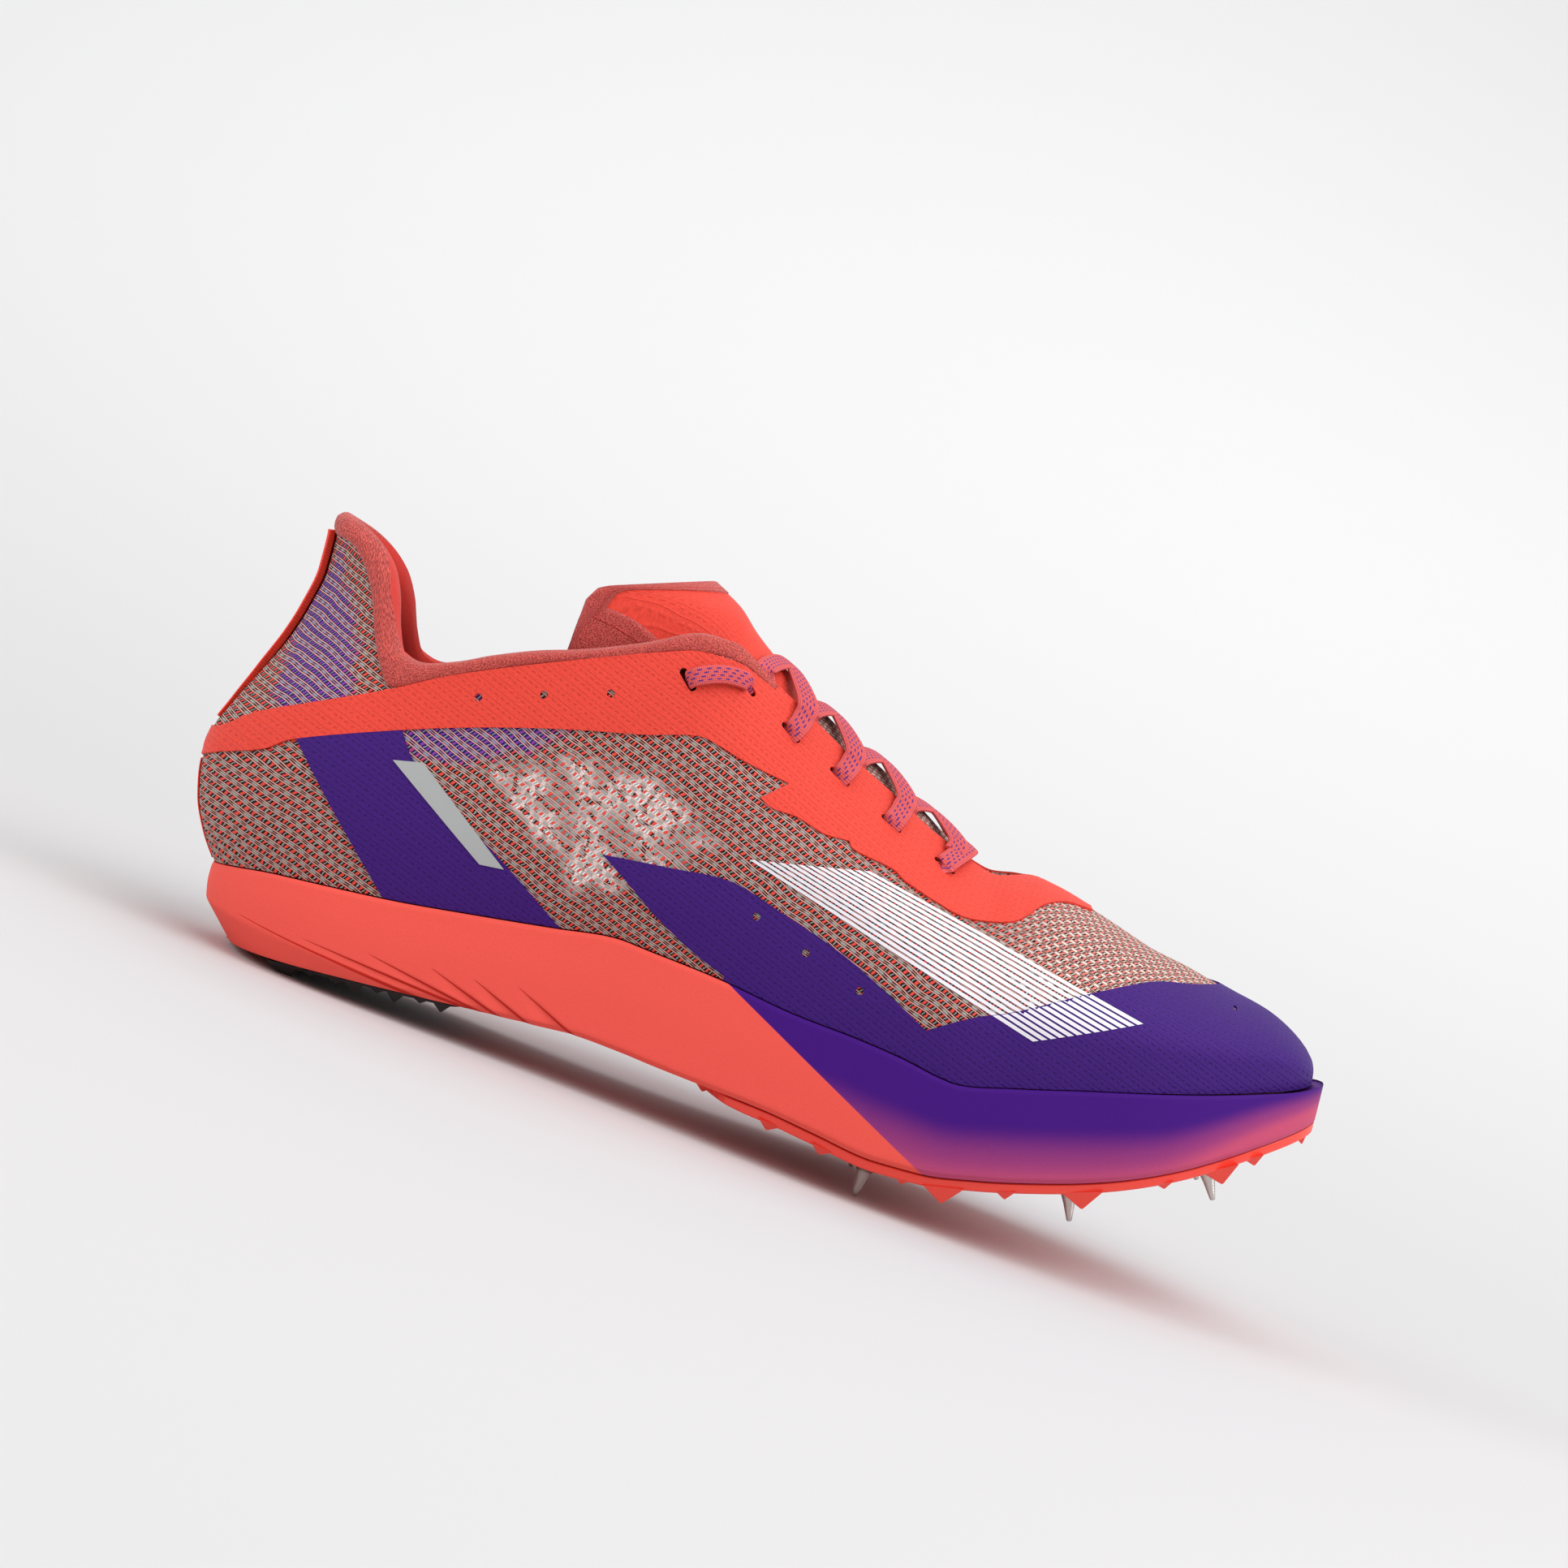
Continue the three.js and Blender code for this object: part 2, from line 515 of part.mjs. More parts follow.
// Midsole.
const wallHalf = (at, side) => feather[sideOf(side)](at) * half + side_rim;
const bevel_end = 0.22;         // where the slope under the heel has run out, as a share of the length
const bevel_in = 3.2;           // how far that slope goes in at the sides
const bevelAt = (at) => clamp(1 - at / bevel_end, 0, 1);
const kink = (at) => underside(at) * sole_height + Math.max(edge_round, bevel_height * bevelAt(at));
const inward = (at) => edge_round + bevel_in * bevelAt(at);
const bed_margin = 9;           // flat border of the bed
function soleRow(s, side) {
  const round = rounding(s * sole_length, heel_round) * rounding((1 - s) * sole_length, toe_round);
  const top = seat(s) - gap;
  const low = underside(s) * sole_height;
  const w = wallHalf(s, side);
  const shift = middle(s) * half;
  const fall = clamp(1 - (s * sole_length) / (heel_round * 1.2), 0, 1) ** 2;
  const place = (half_w, z, dx) => [
    s * sole_length + dx * fall, shift + round * (side * half_w - shift), z,
  ];
  const bed = top - ledge;
  const dish = footbed_dish * clamp(round * 1.6 - 0.5, 0, 1);
  return [
    place(0, bed - dish, 0), place(w - bed_margin, bed - dish * 0.9, 0),
    place(w - side_rim - wall - 1.4, bed, 0),
    place(w - side_rim - 0.1, bed, 0), place(w - side_rim + 0.1, top, 0),
    place(w - 0.5, top, -0.2), place(w, top - 0.9, -0.5),
    place(w + 0.5, (top + kink(s)) / 2, -0.7), place(w + 0.1, kink(s), 0),
    place(w - inward(s), low, heel_bevel), place(0, low, heel_bevel * 0.8),
  ];
}
function midsoleSolid() {
  const rings = SOLE_STATIONS.map((s) => {
    const a = soleRow(s, -1);
    const b = soleRow(s, 1);
    return [...a, ...b.slice(1, -1).reverse()];
  });
  let solid = tube(rings, false);
  for (const side of [-1, 1]) {
    for (const rib of RIBS) {
      const n = 4;
      const profile = Array.from({ length: n + 1 }, (_, i) => {
        const t = i / n;
        const at = rib.from + (rib.to - rib.from) * t * 1.12;
        const z = (rib.high + (rib.low - rib.high) * t * 1.12) * sole_height;
        const deep = rib_depth * clamp(t, 0.03, 1);
        const wide = 0.9 * deep;
        const round = rounding(at * sole_length, heel_round);
        const y0 = wallHalf(at, side) + 0.35;
        const spot = (q, out) => [at * sole_length - q * 0.28, side * round * (y0 + out), z - q];
        const run = rib_fade * (0.25 + 0.75 * t);
        return [
          spot(-wide * 1.1 / deep, 1.2), spot(wide, -deep),
          spot(wide + run, 0.25), spot(wide + rib_fade, 1.2),
        ];
      });
      solid = solid.subtract(tube(profile));
    }
  }
  return solid;
}

// Insole.
const insole_bevel = 8;         // width of the slope under the insole's border
function insoleSolid() {
  const inset = wall + 0.7;
  const rings = STATIONS.map((s) => {
    const row = (side) => {
      const base = s * upper_length;
      const at = base / sole_length;
      const round = rounding(base, heel_round) * rounding(upper_length - base, toe_round);
      // the ends keep clear of the wall
      const draw = clamp(1 - s / heel_share, 0, 1) ** 2 - clamp(1 - (1 - s) / heel_share, 0, 1) ** 2;
      const x = base + (inset + 0.6) * draw;
      const under = soleRow(x / sole_length, side);
      const w = feather[sideOf(side)](at) * half - inset;
      const shift = middle(at) * half;
      const z0 = seat(x / sole_length);
      const place = (half_w, z) => [x, shift + round * (side * half_w - shift), z];
      const low = under[0][2] + gap;
      return [
        place(0, low), place(Math.max(w - insole_bevel, w * 0.5), low + 0.5), place(w - 0.3, z0 + 0.2),
        place(w - 0.5, z0 + insole_lip), place(0, z0 + insole_lip - 0.6),
      ];
    };
    const a = row(-1);
    return [...a, ...row(1).slice(1, -1).reverse()];
  });
  return tube(rings, false);
}

// Plate, rubber, lugs and pins.
const floorAt = (x) => foot.z + (x - foot.x) * ((rearPin.z - foot.z) / (rearPin.x - foot.x));
const corners = [[-1, -1], [1, -1], [1, 1], [-1, 1]];
function pyramid(at, y, long, wide, tall, top) {
  const slope = (underside(at + 0.01) - underside(at - 0.01)) * sole_height / (0.02 * sole_length);
  const [tx, tz] = unit([1, slope, 0]);
  const x = at * sole_length;
  const u = [tx, 0, tz];
  const n = [tz, 0, -tx];
  const root = [x, y, top];
  const ring = (k, h) => corners.map(([i, j]) => (
    sum(sum(sum(root, u, (i * k * long) / 2), n, h), [0, 1, 0], (j * k * wide) / 2)
  ));
  return tube([ring(1.1, -0.5), ring(0, tall)]);
}
const plateTop = (at) => underside(at) * sole_height - gap;
const plate_start = 0.44;
// the plate starts thin and narrow and reaches its full size over a short way
const plateThick = (at) => plate * (0.35 + 0.65 * smooth(plate_start, plate_start + 0.07, at));
const plateHalf = (at, side) => {
  const growth = 0.5 + 0.5 * smooth(plate_start, plate_start + 0.05, at);
  return (wallHalf(at, side) - inward(at) - plate_margin) * growth;
};
const plateUnder = (at) => plateTop(at) - plateThick(at);
const lug_inset = 2.6;          // middle of the edge lugs inside the plate's edge
const lug_width = 5;
const toe_lug = { at: 0.99, long: 4.4, wide: 7, tall: 0.9 };
function plateSolid() {
  const list = [plate_start, ...SOLE_STATIONS.filter((s) => s > plate_start + 0.01)];
  const rings = list.map((s) => {
    const round = rounding((1 - s) * sole_length, toe_round);
    const shift = middle(s) * half;
    const thick = plateThick(s);
    const x = Math.min(s * sole_length, sole_length - 0.2);
    const row = (side) => {
      const w = plateHalf(s, side);
      const place = (half_w, z) => [x, shift + round * (side * half_w - shift), z];
      const top = plateTop(s);
      return [place(0, top), place(w, top), place(w - 0.4, top - thick), place(0, top - thick)];
    };
    return [...row(-1), ...row(1).slice(1, -1).reverse()];
  });
  const skin = new Skin();
  skin.sheet(rings.map((r) => [...r, r[0]]));
  skin.cap(rings[0]);
  let solid = skin.solid();
  for (const side of [-1, 1]) {
    for (const lug of LUGS) {
      const round = rounding((1 - lug.at) * sole_length, toe_round);
      const long = lug.long * lug_height;
      const shift = middle(lug.at) * half;
      const y = shift + round * (side * (plateHalf(lug.at, side) - lug_inset) - shift);
      const tall = lug.tall * lug_height;
      solid = solid.add(pyramid(lug.at, y, long, Math.min(lug_width, long), tall, plateUnder(lug.at)));
    }
    for (const lug of INNER_LUGS) {
      const [long, wide, tall] = [1.6, 1.3, lug.tall].map((k) => k * lug_height);
      solid = solid.add(pyramid(lug.at, side * lug.across * half, long, wide, tall, plateUnder(lug.at)));
    }
  }
  const { at, long, wide, tall } = toe_lug;
  return solid.add(pyramid(at, middle(1) * half, long, wide, lug_height * tall, plateTop(at) - plate));
}
function pinPlace(pin, side) {
  const slope = (underside(pin.at + 0.02) - underside(pin.at - 0.02)) * sole_height / (0.04 * sole_length);
  const axis = unit([slope, 0, -1]);
  const head = [pin.at * sole_length, side * pin.across * half, plateTop(pin.at) - plate];
  return { head: sum(head, axis, gap), axis };
}
const rear = pinPlace(PINS[0], 1);
const pinReach = flange_height + pin_length;
const rear_rake = 0.135;        // the rear pins lean back by this slope, which sets them square to the floor
const rear_drop = 0.25;         // and so stand this much off the plate
const rearAxis = unit([-rear_rake, 0, -1]);
const rearEnd = sum(rear.head, rearAxis, pinReach + rear_drop);
const rearPin = { x: rearEnd[0], z: rearEnd[2] };
const foot = { x: HEEL_LUGS[0].at * sole_length, z: -gap - rubber - heel_lug_height * HEEL_LUGS[0].tall };
const pin_sides = 8;
function pinSolid(pin, side, first) {
  const place = pinPlace(pin, side);
  const axis = first ? rearAxis : place.axis;
  const head = first ? sum(place.head, axis, rear_drop) : place.head;
  const u = unit(cross(axis, [0, 1, 0]));
  const v = cross(axis, u);
  const profile = [
    [pin_flange, 0], [pin_flange * 0.9, flange_height], [pin_root, flange_height + 0.1],
    [pin_root * 0.62, flange_height + pin_length * 0.4], [pin_tip, pinReach],
  ];
  return tube(profile.map(([r, h]) => Array.from({ length: pin_sides }, (_, i) => {
    const a = (i / pin_sides) * 2 * Math.PI;
    return sum(sum(sum(head, axis, h), u, r * Math.cos(a)), v, r * Math.sin(a));
  })));
}
// the pad under the heel: from, to (shares of length), half width (share of half the ball width), round ends
const PAD = { from: 0.062, to: 0.252, across: 0.5, heel_end: 18, toe_end: 6, steps: 6 };
const small_lug = { long: 4.6, wide: 4.2, across: 0.455 };
const middle_lug = { long: 5, wide: 5, across: 0.2, tall: 0.7 };
const foot_lug = { across: 0.36, root: 4, neck: 3.6, tip: 1.7 };
function rubberSolid() {
  const outline = [];
  const [x0, x1, w] = [PAD.from * sole_length, PAD.to * sole_length, PAD.across * half];
  const ends = [[x0 + PAD.heel_end, 90, PAD.heel_end], [x1 - PAD.toe_end, 270, PAD.toe_end]];
  for (const [cx, start, rx] of ends) {
    for (let i = 0; i <= PAD.steps; i += 1) {
      const a = ((start + (180 * i) / PAD.steps) * Math.PI) / 180;
      outline.push([cx + rx * Math.cos(a), w * Math.sin(a)]);
    }
  }
  let solid = prism(outline, -gap - rubber, -gap, ([x, y], z) => [x, y, z]);
  const top = -gap - rubber;
  for (const side of [-1, 1]) {
    HEEL_LUGS.forEach((lug, i) => {
      const y = side * half * (i === 0 ? foot_lug.across : small_lug.across);
      const x = lug.at * sole_length;
      if (i === 0) {
        const ring = (k, h) => corners.map(([a, b]) => [x + a * k, y + b * k, h(x + a * k)]);
        const { root, neck, tip: end } = foot_lug;
        solid = solid.add(tube([ring(root, () => top + 0.6), ring(neck, () => top), ring(end, floorAt)]));
        return;
      }
      solid = solid.add(pyramid(lug.at, y, small_lug.long, small_lug.wide, lug.tall * heel_lug_height, top));
      if (i % 2 === 1) {
        const { long, wide, across, tall } = middle_lug;
        solid = solid.add(pyramid(lug.at, side * half * across, long, wide, heel_lug_height * tall, top));
      }
    });
  }
  return solid;
}

// Overlays.
const sideView = ([at, up]) => [at * sole_length, sole_height + up * collar_height];
const slotPlaces = SLOTS.flatMap((slot, row) => [-1, 1].map((side) => {
  const [x, z] = sideView(slot);
  const seatPoint = onForm(x, z, side);
  // the slots lie along the throat, and the top two lean as the collar does there
  const [ax, az] = sideView(SLOTS[row]);
  const [bx, bz] = row < 4 ? sideView(SLOTS[row + 1]) : [ax - 14, az + (row === 4 ? 15 : 16)];
  const run = unit([ax - bx, 0, az - bz]);
  const along = unit(sum(run, seatPoint.n, -dot(run, seatPoint.n)));
  return { ...seatPoint, along, across: cross(along, seatPoint.n), row, side };
}));
const slotCutters = slotPlaces.map(({ p, n, along, across }) => (
  block(p, along, across, n, slot_length / 2, slot_width / 2, wall + film + 2)
));
const cutSlots = (solid) => slotCutters.reduce((a, b) => a.subtract(b), solid);
const filmShell = shellSolid(-gap - film, -gap);
const wide = ball_width * 2;

// Tongue.
function tonguePoint(row, b, drop = 0) {
  const beta = (Math.abs(b) * Math.PI) / 2;
  const f = 1 - Math.cos(beta);
  const x = (row.crest_x + (row.edge_x - row.crest_x) * f ** row.fore) * sole_length;
  const fall = row.tilt * f ** row.fore + (1 - row.tilt) * f ** row.down;
  const z = sole_height + (row.crest_z + (row.edge_z - row.crest_z) * fall) * collar_height;
  const shift = middle(row.crest_x) * half;
  const y = shift + Math.sign(b) * Math.sin(beta) * row.reach * half;
  return [
    x - drop * 0.35,
    y - Math.sign(b) * drop * Math.sin(beta) * 0.7,
    z - drop * (0.35 + 0.65 * Math.cos(beta)),
  ];
}
const tongue_rows = 10;
function tongueSolid() {
  const keys = Object.keys(TONGUE[0]);
  const placed = TONGUE.map((row, i) => ({ at: i / (TONGUE.length - 1), ...row }));
  const curves = columns(placed, ...keys);
  const fine = Array.from({ length: tongue_rows + 1 }, (_, i) => (
    Object.fromEntries(keys.map((k) => [k, curves[k](i / tongue_rows)]))
  ));
  const bs = [-1, -0.92, -0.75, -0.5, -0.25, 0, 0.25, 0.5, 0.75, 0.92, 1];
  return tube(fine.map((row) => [
    ...bs.map((b) => tonguePoint(row, b)),
    ...[...bs].reverse().map((b) => tonguePoint(row, b, tongue_thickness)),
  ]));
}
const crestOf = column(TONGUE.map((r) => ({ at: -r.crest_x, z: r.crest_z })), 'z');
const tongueCrest = (at) => sole_height + crestOf(-at) * collar_height;

// Laces.
function ribbon(path, normals, width = lace_width) {
  const rings = path.map((p, i) => {
    const t = unit(sum(path[Math.min(i + 1, path.length - 1)], path[Math.max(i - 1, 0)], -1));
    const n = unit(sum(normals[i], t, -dot(normals[i], t)));
    const w = cross(t, n);
    const [a, b] = [width / 2, lace_thickness / 2];
    return corners.map(([across, up]) => sum(sum(p, w, across * a), n, up * b));
  });
  return tube(rings);
}
function catmull(points, per) {
  const out = [];
  for (let i = 0; i + 1 < points.length; i += 1) {
    const [b, c] = [points[i], points[i + 1]];
    const a = points[Math.max(0, i - 1)];
    const d = points[Math.min(points.length - 1, i + 2)];
    for (let k = 0; k < per; k += 1) {
      const t = k / per;
      out.push(b.map((_, q) => {
        const slope = (c[q] - a[q]) * t;
        const bow = (2 * a[q] - 5 * b[q] + 4 * c[q] - d[q]) * t * t;
        return 0.5 * (2 * b[q] + slope + bow + (3 * b[q] - a[q] - 3 * c[q] + d[q]) * t ** 3);
      }));
    }
  }
  out.push(points[points.length - 1]);
  return out;
}
const clear = gap + film + lace_lift + lace_thickness / 2;
const edge_lift = 1;            // further lift of a lace over the throat's edge
const arch_lift = 0.6;          // and over the tongue, where it stands in an arch
const overTongue = (at) => tongueCrest(at) + lace_thickness + lace_lift + arch_lift;
const slotAt = (row, side) => slotPlaces.find((q) => q.row === row && q.side === side);
function throatEdge(at, side, lift) {
  const p = form((at * sole_length) / upper_length, 1, side);
  return [p[0], p[1], p[2] + lift];
}
function strand(from, side, to_at) {
  // from a slot, over the near edge and the tongue, down to the far edge of the throat
  const near = from.slot !== undefined ? slotAt(from.slot, side) : null;
  const from_at = near ? near.p[0] / sole_length : from.at;
  const pts = [];
  if (near) {
    pts.push(sum(near.p, near.n, clear));
    const up = throatEdge(from_at + 0.0075, side, 0);
    pts.push(sum(between(near.p, up, 0.55), near.n, clear + 0.5));
    pts.push(sum(up, [0, side * 0.2, 1], clear + edge_lift));
  } else {
    pts.push(throatEdge(from_at, side, clear + edge_lift));
  }
  const mid_at = from_at + (to_at - from_at) * 0.45;
  const shift = middle(mid_at) * half;
  pts.push([mid_at * sole_length, shift, overTongue(mid_at)]);
  pts.push(throatEdge(to_at, -side, clear + edge_lift));
  const path = catmull(pts, 2);
  const normals = path.map((p) => {
    const slant = clamp((p[1] - shift) / (half * 0.6), -1, 1);
    return unit([0.45 * (1 - Math.abs(slant) * 0.6), slant * 1.1, 0.9]);
  });
  return ribbon(path, normals);
}
function laceSolid() {
  const pieces = [];
  // each strand goes in under the far edge a little ahead of the next slot
  const mid = (row) => SLOTS[row + 1][0] + (SLOTS[row][0] - SLOTS[row + 1][0]) * 0.27;
  for (const side of [-1, 1]) {
    pieces.push(strand({ at: SLOTS[0][0] + 0.004 }, side, mid(0)));
    for (const row of [1, 2, 3]) pieces.push(strand({ slot: row }, side, mid(row)));
  }
  // the bottom bar lies over both edges
  const [a, b] = [slotAt(0, -1), slotAt(0, 1)];
  const at = SLOTS[0][0] + 0.018;
  const shift = middle(at) * half;
  const overEdge = (side) => sum(throatEdge(at, side, 0), [0, side * 0.2, 1], clear + 0.6);
  const bar = [
    sum(a.p, a.n, clear), overEdge(-1), [at * sole_length + 1, shift, overTongue(at)],
    overEdge(1), sum(b.p, b.n, clear),
  ];
  const path = catmull(bar, 3);
  const normals = path.map((p) => unit([0.4, clamp((p[1] - shift) / (half * 0.6), -1, 1) * 1.1, 0.9]));
  pieces.push(ribbon(path, normals));
  return join(pieces);
}
function laceBar(side) {
  const a = slotAt(4, side);
  const b = slotAt(5, side);
  const pts = [0, 0.18, 0.5, 0.82, 1].map((t, i) => {
    const lift = clear + [-0.1, -0.1, 0.3, -0.1, -0.1][i];
    const x = a.p[0] + (b.p[0] - a.p[0]) * t;
    const z = a.p[2] + (b.p[2] - a.p[2]) * t + 1.2 * Math.sin(Math.PI * t);
    const q = onForm(x, z, side);
    return sum(q.p, q.n, lift);
  });
  const path = catmull(pts, 3);
  return ribbon(path, path.map(() => unit(sum(a.n, b.n))), lace_width * 0.8);
}

// Assembly.
// colour, roughness and metalness of each finish; every mesh has its own material
const finish = (color, roughness, metalness = 0) => ({ color, roughness, metalness });
const foam = finish(0xe6594f, 0.6);
const knit = finish(0xb08a80, 0.8);
const lining = finish(0xa83c34, 0.9);
const microfibre = finish(0xd63f30, 0.8);
const orange_film = finish(0xe74b3b, 0.55);
const purple_film = finish(0x442276, 0.55);
const webbing = finish(0xe6483a, 0.7);
const moulding = finish(0xea4b3d, 0.45);
const black_rubber = finish(0x373131, 0.8);
const steel = finish(0xc8c4c0, 0.3, 1);
const braid = finish(0xd0606a, 0.7);
const group = new THREE.Group();
function part(name, solid, look) {
  const m = solid.getMesh();
  const geometry = new THREE.BufferGeometry();
  const count = m.vertProperties.length / m.numProp;
  const points = new Float32Array(count * 3);
  for (let i = 0; i < count; i += 1) {
    points.set(m.vertProperties.subarray(i * m.numProp, i * m.numProp + 3), i * 3);
  }
  geometry.setAttribute('position', new THREE.BufferAttribute(points, 3));
  geometry.setIndex(new THREE.BufferAttribute(new Uint32Array(m.triVerts), 1));
  const material = new THREE.MeshStandardMaterial(look);
  const mesh = new THREE.Mesh(mergeVertices(geometry, 1e-4), material);
  mesh.name = name;
  group.add(mesh);
}
const cutFilm = (outline, from, to) => filmShell.intersect(prism(outline.map(sideView), from, to));
part('midsole', midsoleSolid(), foam);
part('upper', cutSlots(shellSolid(0, wall, true)), knit);
part('insole', insoleSolid(), lining);
part('tongue', tongueSolid(), microfibre);
part('collar_band', cutSlots(cutFilm([...BAND_TOP, ...BAND_LOWER], -wide, wide)), orange_film);
part('forefoot_panel', cutFilm(FOREFOOT, -wide, wide), purple_film);
part('heel_panel_lateral', cutFilm(HEEL_PANEL, -wide, 0), purple_film);
part('heel_panel_medial', cutFilm(HEEL_PANEL, 0, wide), purple_film);
// the webbing is thin at its foot and stands proud higher up
const strip_low = sole_height + 0.315 * collar_height;
const strip_high = sole_height + 0.878 * collar_height;
const stripFace = (v) => -gap - strip_thickness * (0.3 + 0.7 * smooth(0.42, 0.66, v));
const stripBlock = block([0, 0, (strip_low + strip_high) / 2], [1, 0, 0], [0, 1, 0], [0, 0, 1],
  heel_round * 0.7, strip_width / 2, (strip_high - strip_low) / 2);
part('heel_strip', shellSolid(stripFace, -gap).intersect(stripBlock), webbing);
part('forefoot_plate', plateSolid(), moulding);
part('heel_rubber', rubberSolid(), black_rubber);
PINS.forEach((pin, i) => {
  const name = ['rear', 'middle', 'front'][i];
  part(`pin_${name}_lateral`, pinSolid(pin, -1, i === 0), steel);
  part(`pin_${name}_medial`, pinSolid(pin, 1, i === 0), steel);
});
part('lace_crossings', laceSolid(), braid);
part('lace_bar_lateral', laceBar(-1), braid);
part('lace_bar_medial', laceBar(1), braid);

// tip the shoe onto its rear lugs and rear pins, then put the box's bottom centre at the origin
const tip = Math.atan2(foot.z - rearPin.z, rearPin.x - foot.x);
const turn = new THREE.Matrix4().makeRotationY(-tip);
group.children.forEach((m) => m.geometry.applyMatrix4(turn));
const box = new THREE.Box3().setFromObject(group);
const [cx, cy] = [(box.min.x + box.max.x) / 2, (box.min.y + box.max.y) / 2];
group.children.forEach((m) => m.geometry.translate(-cx, -cy, -box.min.z));

export default group;
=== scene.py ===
"""Cross country running shoe, the right one of a pair.

The shapes are drawn in the last's own millimetres, heel seat level, and then tipped onto the rear lugs
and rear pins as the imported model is. In the last: +X toe, -Y lateral, +Z up.
"""
import math
from functools import lru_cache

import bmesh
import bpy
import numpy as np
from mathutils import Matrix, Vector
from mathutils.geometry import delaunay_2d_cdt
from mathutils.kdtree import KDTree


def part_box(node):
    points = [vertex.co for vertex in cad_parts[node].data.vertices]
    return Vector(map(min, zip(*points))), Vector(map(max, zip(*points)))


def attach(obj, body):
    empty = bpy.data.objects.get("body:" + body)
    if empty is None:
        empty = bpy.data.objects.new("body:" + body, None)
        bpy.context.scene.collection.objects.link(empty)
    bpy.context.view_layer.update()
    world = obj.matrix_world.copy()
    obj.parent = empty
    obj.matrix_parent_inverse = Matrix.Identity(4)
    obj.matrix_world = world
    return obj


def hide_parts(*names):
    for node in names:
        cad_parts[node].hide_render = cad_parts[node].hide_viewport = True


bl_info = {
    "name": "Cross country running shoe",
    "version": (1, 0, 0),
    "blender": (4, 5, 0),
    "location": "3D View > Sidebar > Shoe",
    "description": "Builds the looks of a cross country running shoe around its solids",
    "category": "Object",
}

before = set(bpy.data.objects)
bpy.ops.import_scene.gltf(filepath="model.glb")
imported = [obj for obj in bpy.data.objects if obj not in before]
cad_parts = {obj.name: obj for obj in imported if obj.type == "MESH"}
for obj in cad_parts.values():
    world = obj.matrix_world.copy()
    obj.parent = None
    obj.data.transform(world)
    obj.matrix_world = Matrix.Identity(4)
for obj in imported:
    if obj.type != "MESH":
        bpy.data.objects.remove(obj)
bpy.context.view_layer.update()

# sizes of the last and its pieces, in millimetres
SOLE_LENGTH = 285.4
HALF = 47.0
SOLE_HEIGHT = 25.0
COLLAR_HEIGHT = 92.3
HEEL_CURVE = 9.1
HEEL_ROUND = 33.0
TOE_ROUND = 55.0
TOE_CROWN = 22.0
TOE_RIM = 3.2
SIDE_RIM = 1.5
WALL = 1.5
COLLAR_PAD = 2.9
GAP = 0.3
FILM = 0.6
LEDGE = 0.5
DISH = 3.4
INSOLE_LIP = 1.3
HEEL_BEVEL = 8.2
BEVEL_HEIGHT = 9.2
EDGE_ROUND = 1.3
RIB_DEPTH = 1.7
RIB_FADE = 7.5
PLATE = 2.5
PLATE_MARGIN = 0.8
PLATE_START = 0.44
RUBBER = 1.1
PIN_LENGTH = 7.4
PIN_ROOT = 2.3
PIN_TIP = 0.65
PIN_FLANGE = 4.3
FLANGE_HEIGHT = 1.1
TAPE_WIDTH = 9.0
TONGUE_THICKNESS = 2.2
SLOT_LENGTH = 6.4
SLOT_WIDTH = 2.0
LUG_HEIGHT = 4.2
HEEL_LUG_HEIGHT = 2.7
UPPER_LENGTH = SOLE_LENGTH - TOE_RIM
THROAT_END = 0.7
BELLY_SHARE = 0.36
ROLL = 0.35 * COLLAR_PAD

# share of length, then feather height (share of SOLE_HEIGHT), lateral and medial half widths (shares of HALF)
FEATHER = [
    (0, 0.74, 0.6, 0.6), (0.07, 0.84, 0.63, 0.63), (0.17, 0.87, 0.66, 0.65), (0.24, 0.92, 0.66, 0.62),
    (0.31, 0.98, 0.665, 0.565), (0.36, 1.03, 0.69, 0.54), (0.395, 0.985, 0.725, 0.54),
    (0.455, 0.895, 0.79, 0.58),
    (0.525, 0.745, 0.87, 0.7), (0.58, 0.67, 0.925, 0.8), (0.62, 0.595, 0.955, 0.86), (0.655, 0.5, 0.97, 0.9),
    (0.67, 0.476, 0.975, 0.91), (0.72, 0.568, 0.97, 0.93), (0.78, 0.7, 0.93, 0.92),
    (0.875, 0.888, 0.84, 0.85),
    (0.93, 1, 0.77, 0.79), (0.965, 1.07, 0.73, 0.76), (1, 1.165, 0.7, 0.74),
]
# share of length, then height of the widest line above the feather (share of COLLAR_HEIGHT), half widths
BELLY = [
    (0, 0.27, 0.64, 0.64), (0.07, 0.27, 0.69, 0.69), (0.14, 0.26, 0.72, 0.71), (0.21, 0.25, 0.735, 0.69),
    (0.28, 0.24, 0.75, 0.66), (0.35, 0.23, 0.77, 0.65), (0.4, 0.22, 0.795, 0.66), (0.455, 0.2, 0.835, 0.69),
    (0.525, 0.18, 0.9, 0.77), (0.595, 0.16, 0.965, 0.88), (0.655, 0.15, 1, 0.94), (0.72, 0.14, 1, 0.965),
    (0.77, 0.13, 0.965, 0.95), (0.84, 0.11, 0.89, 0.89), (0.91, 0.09, 0.81, 0.82), (1, 0.07, 0.74, 0.76),
]
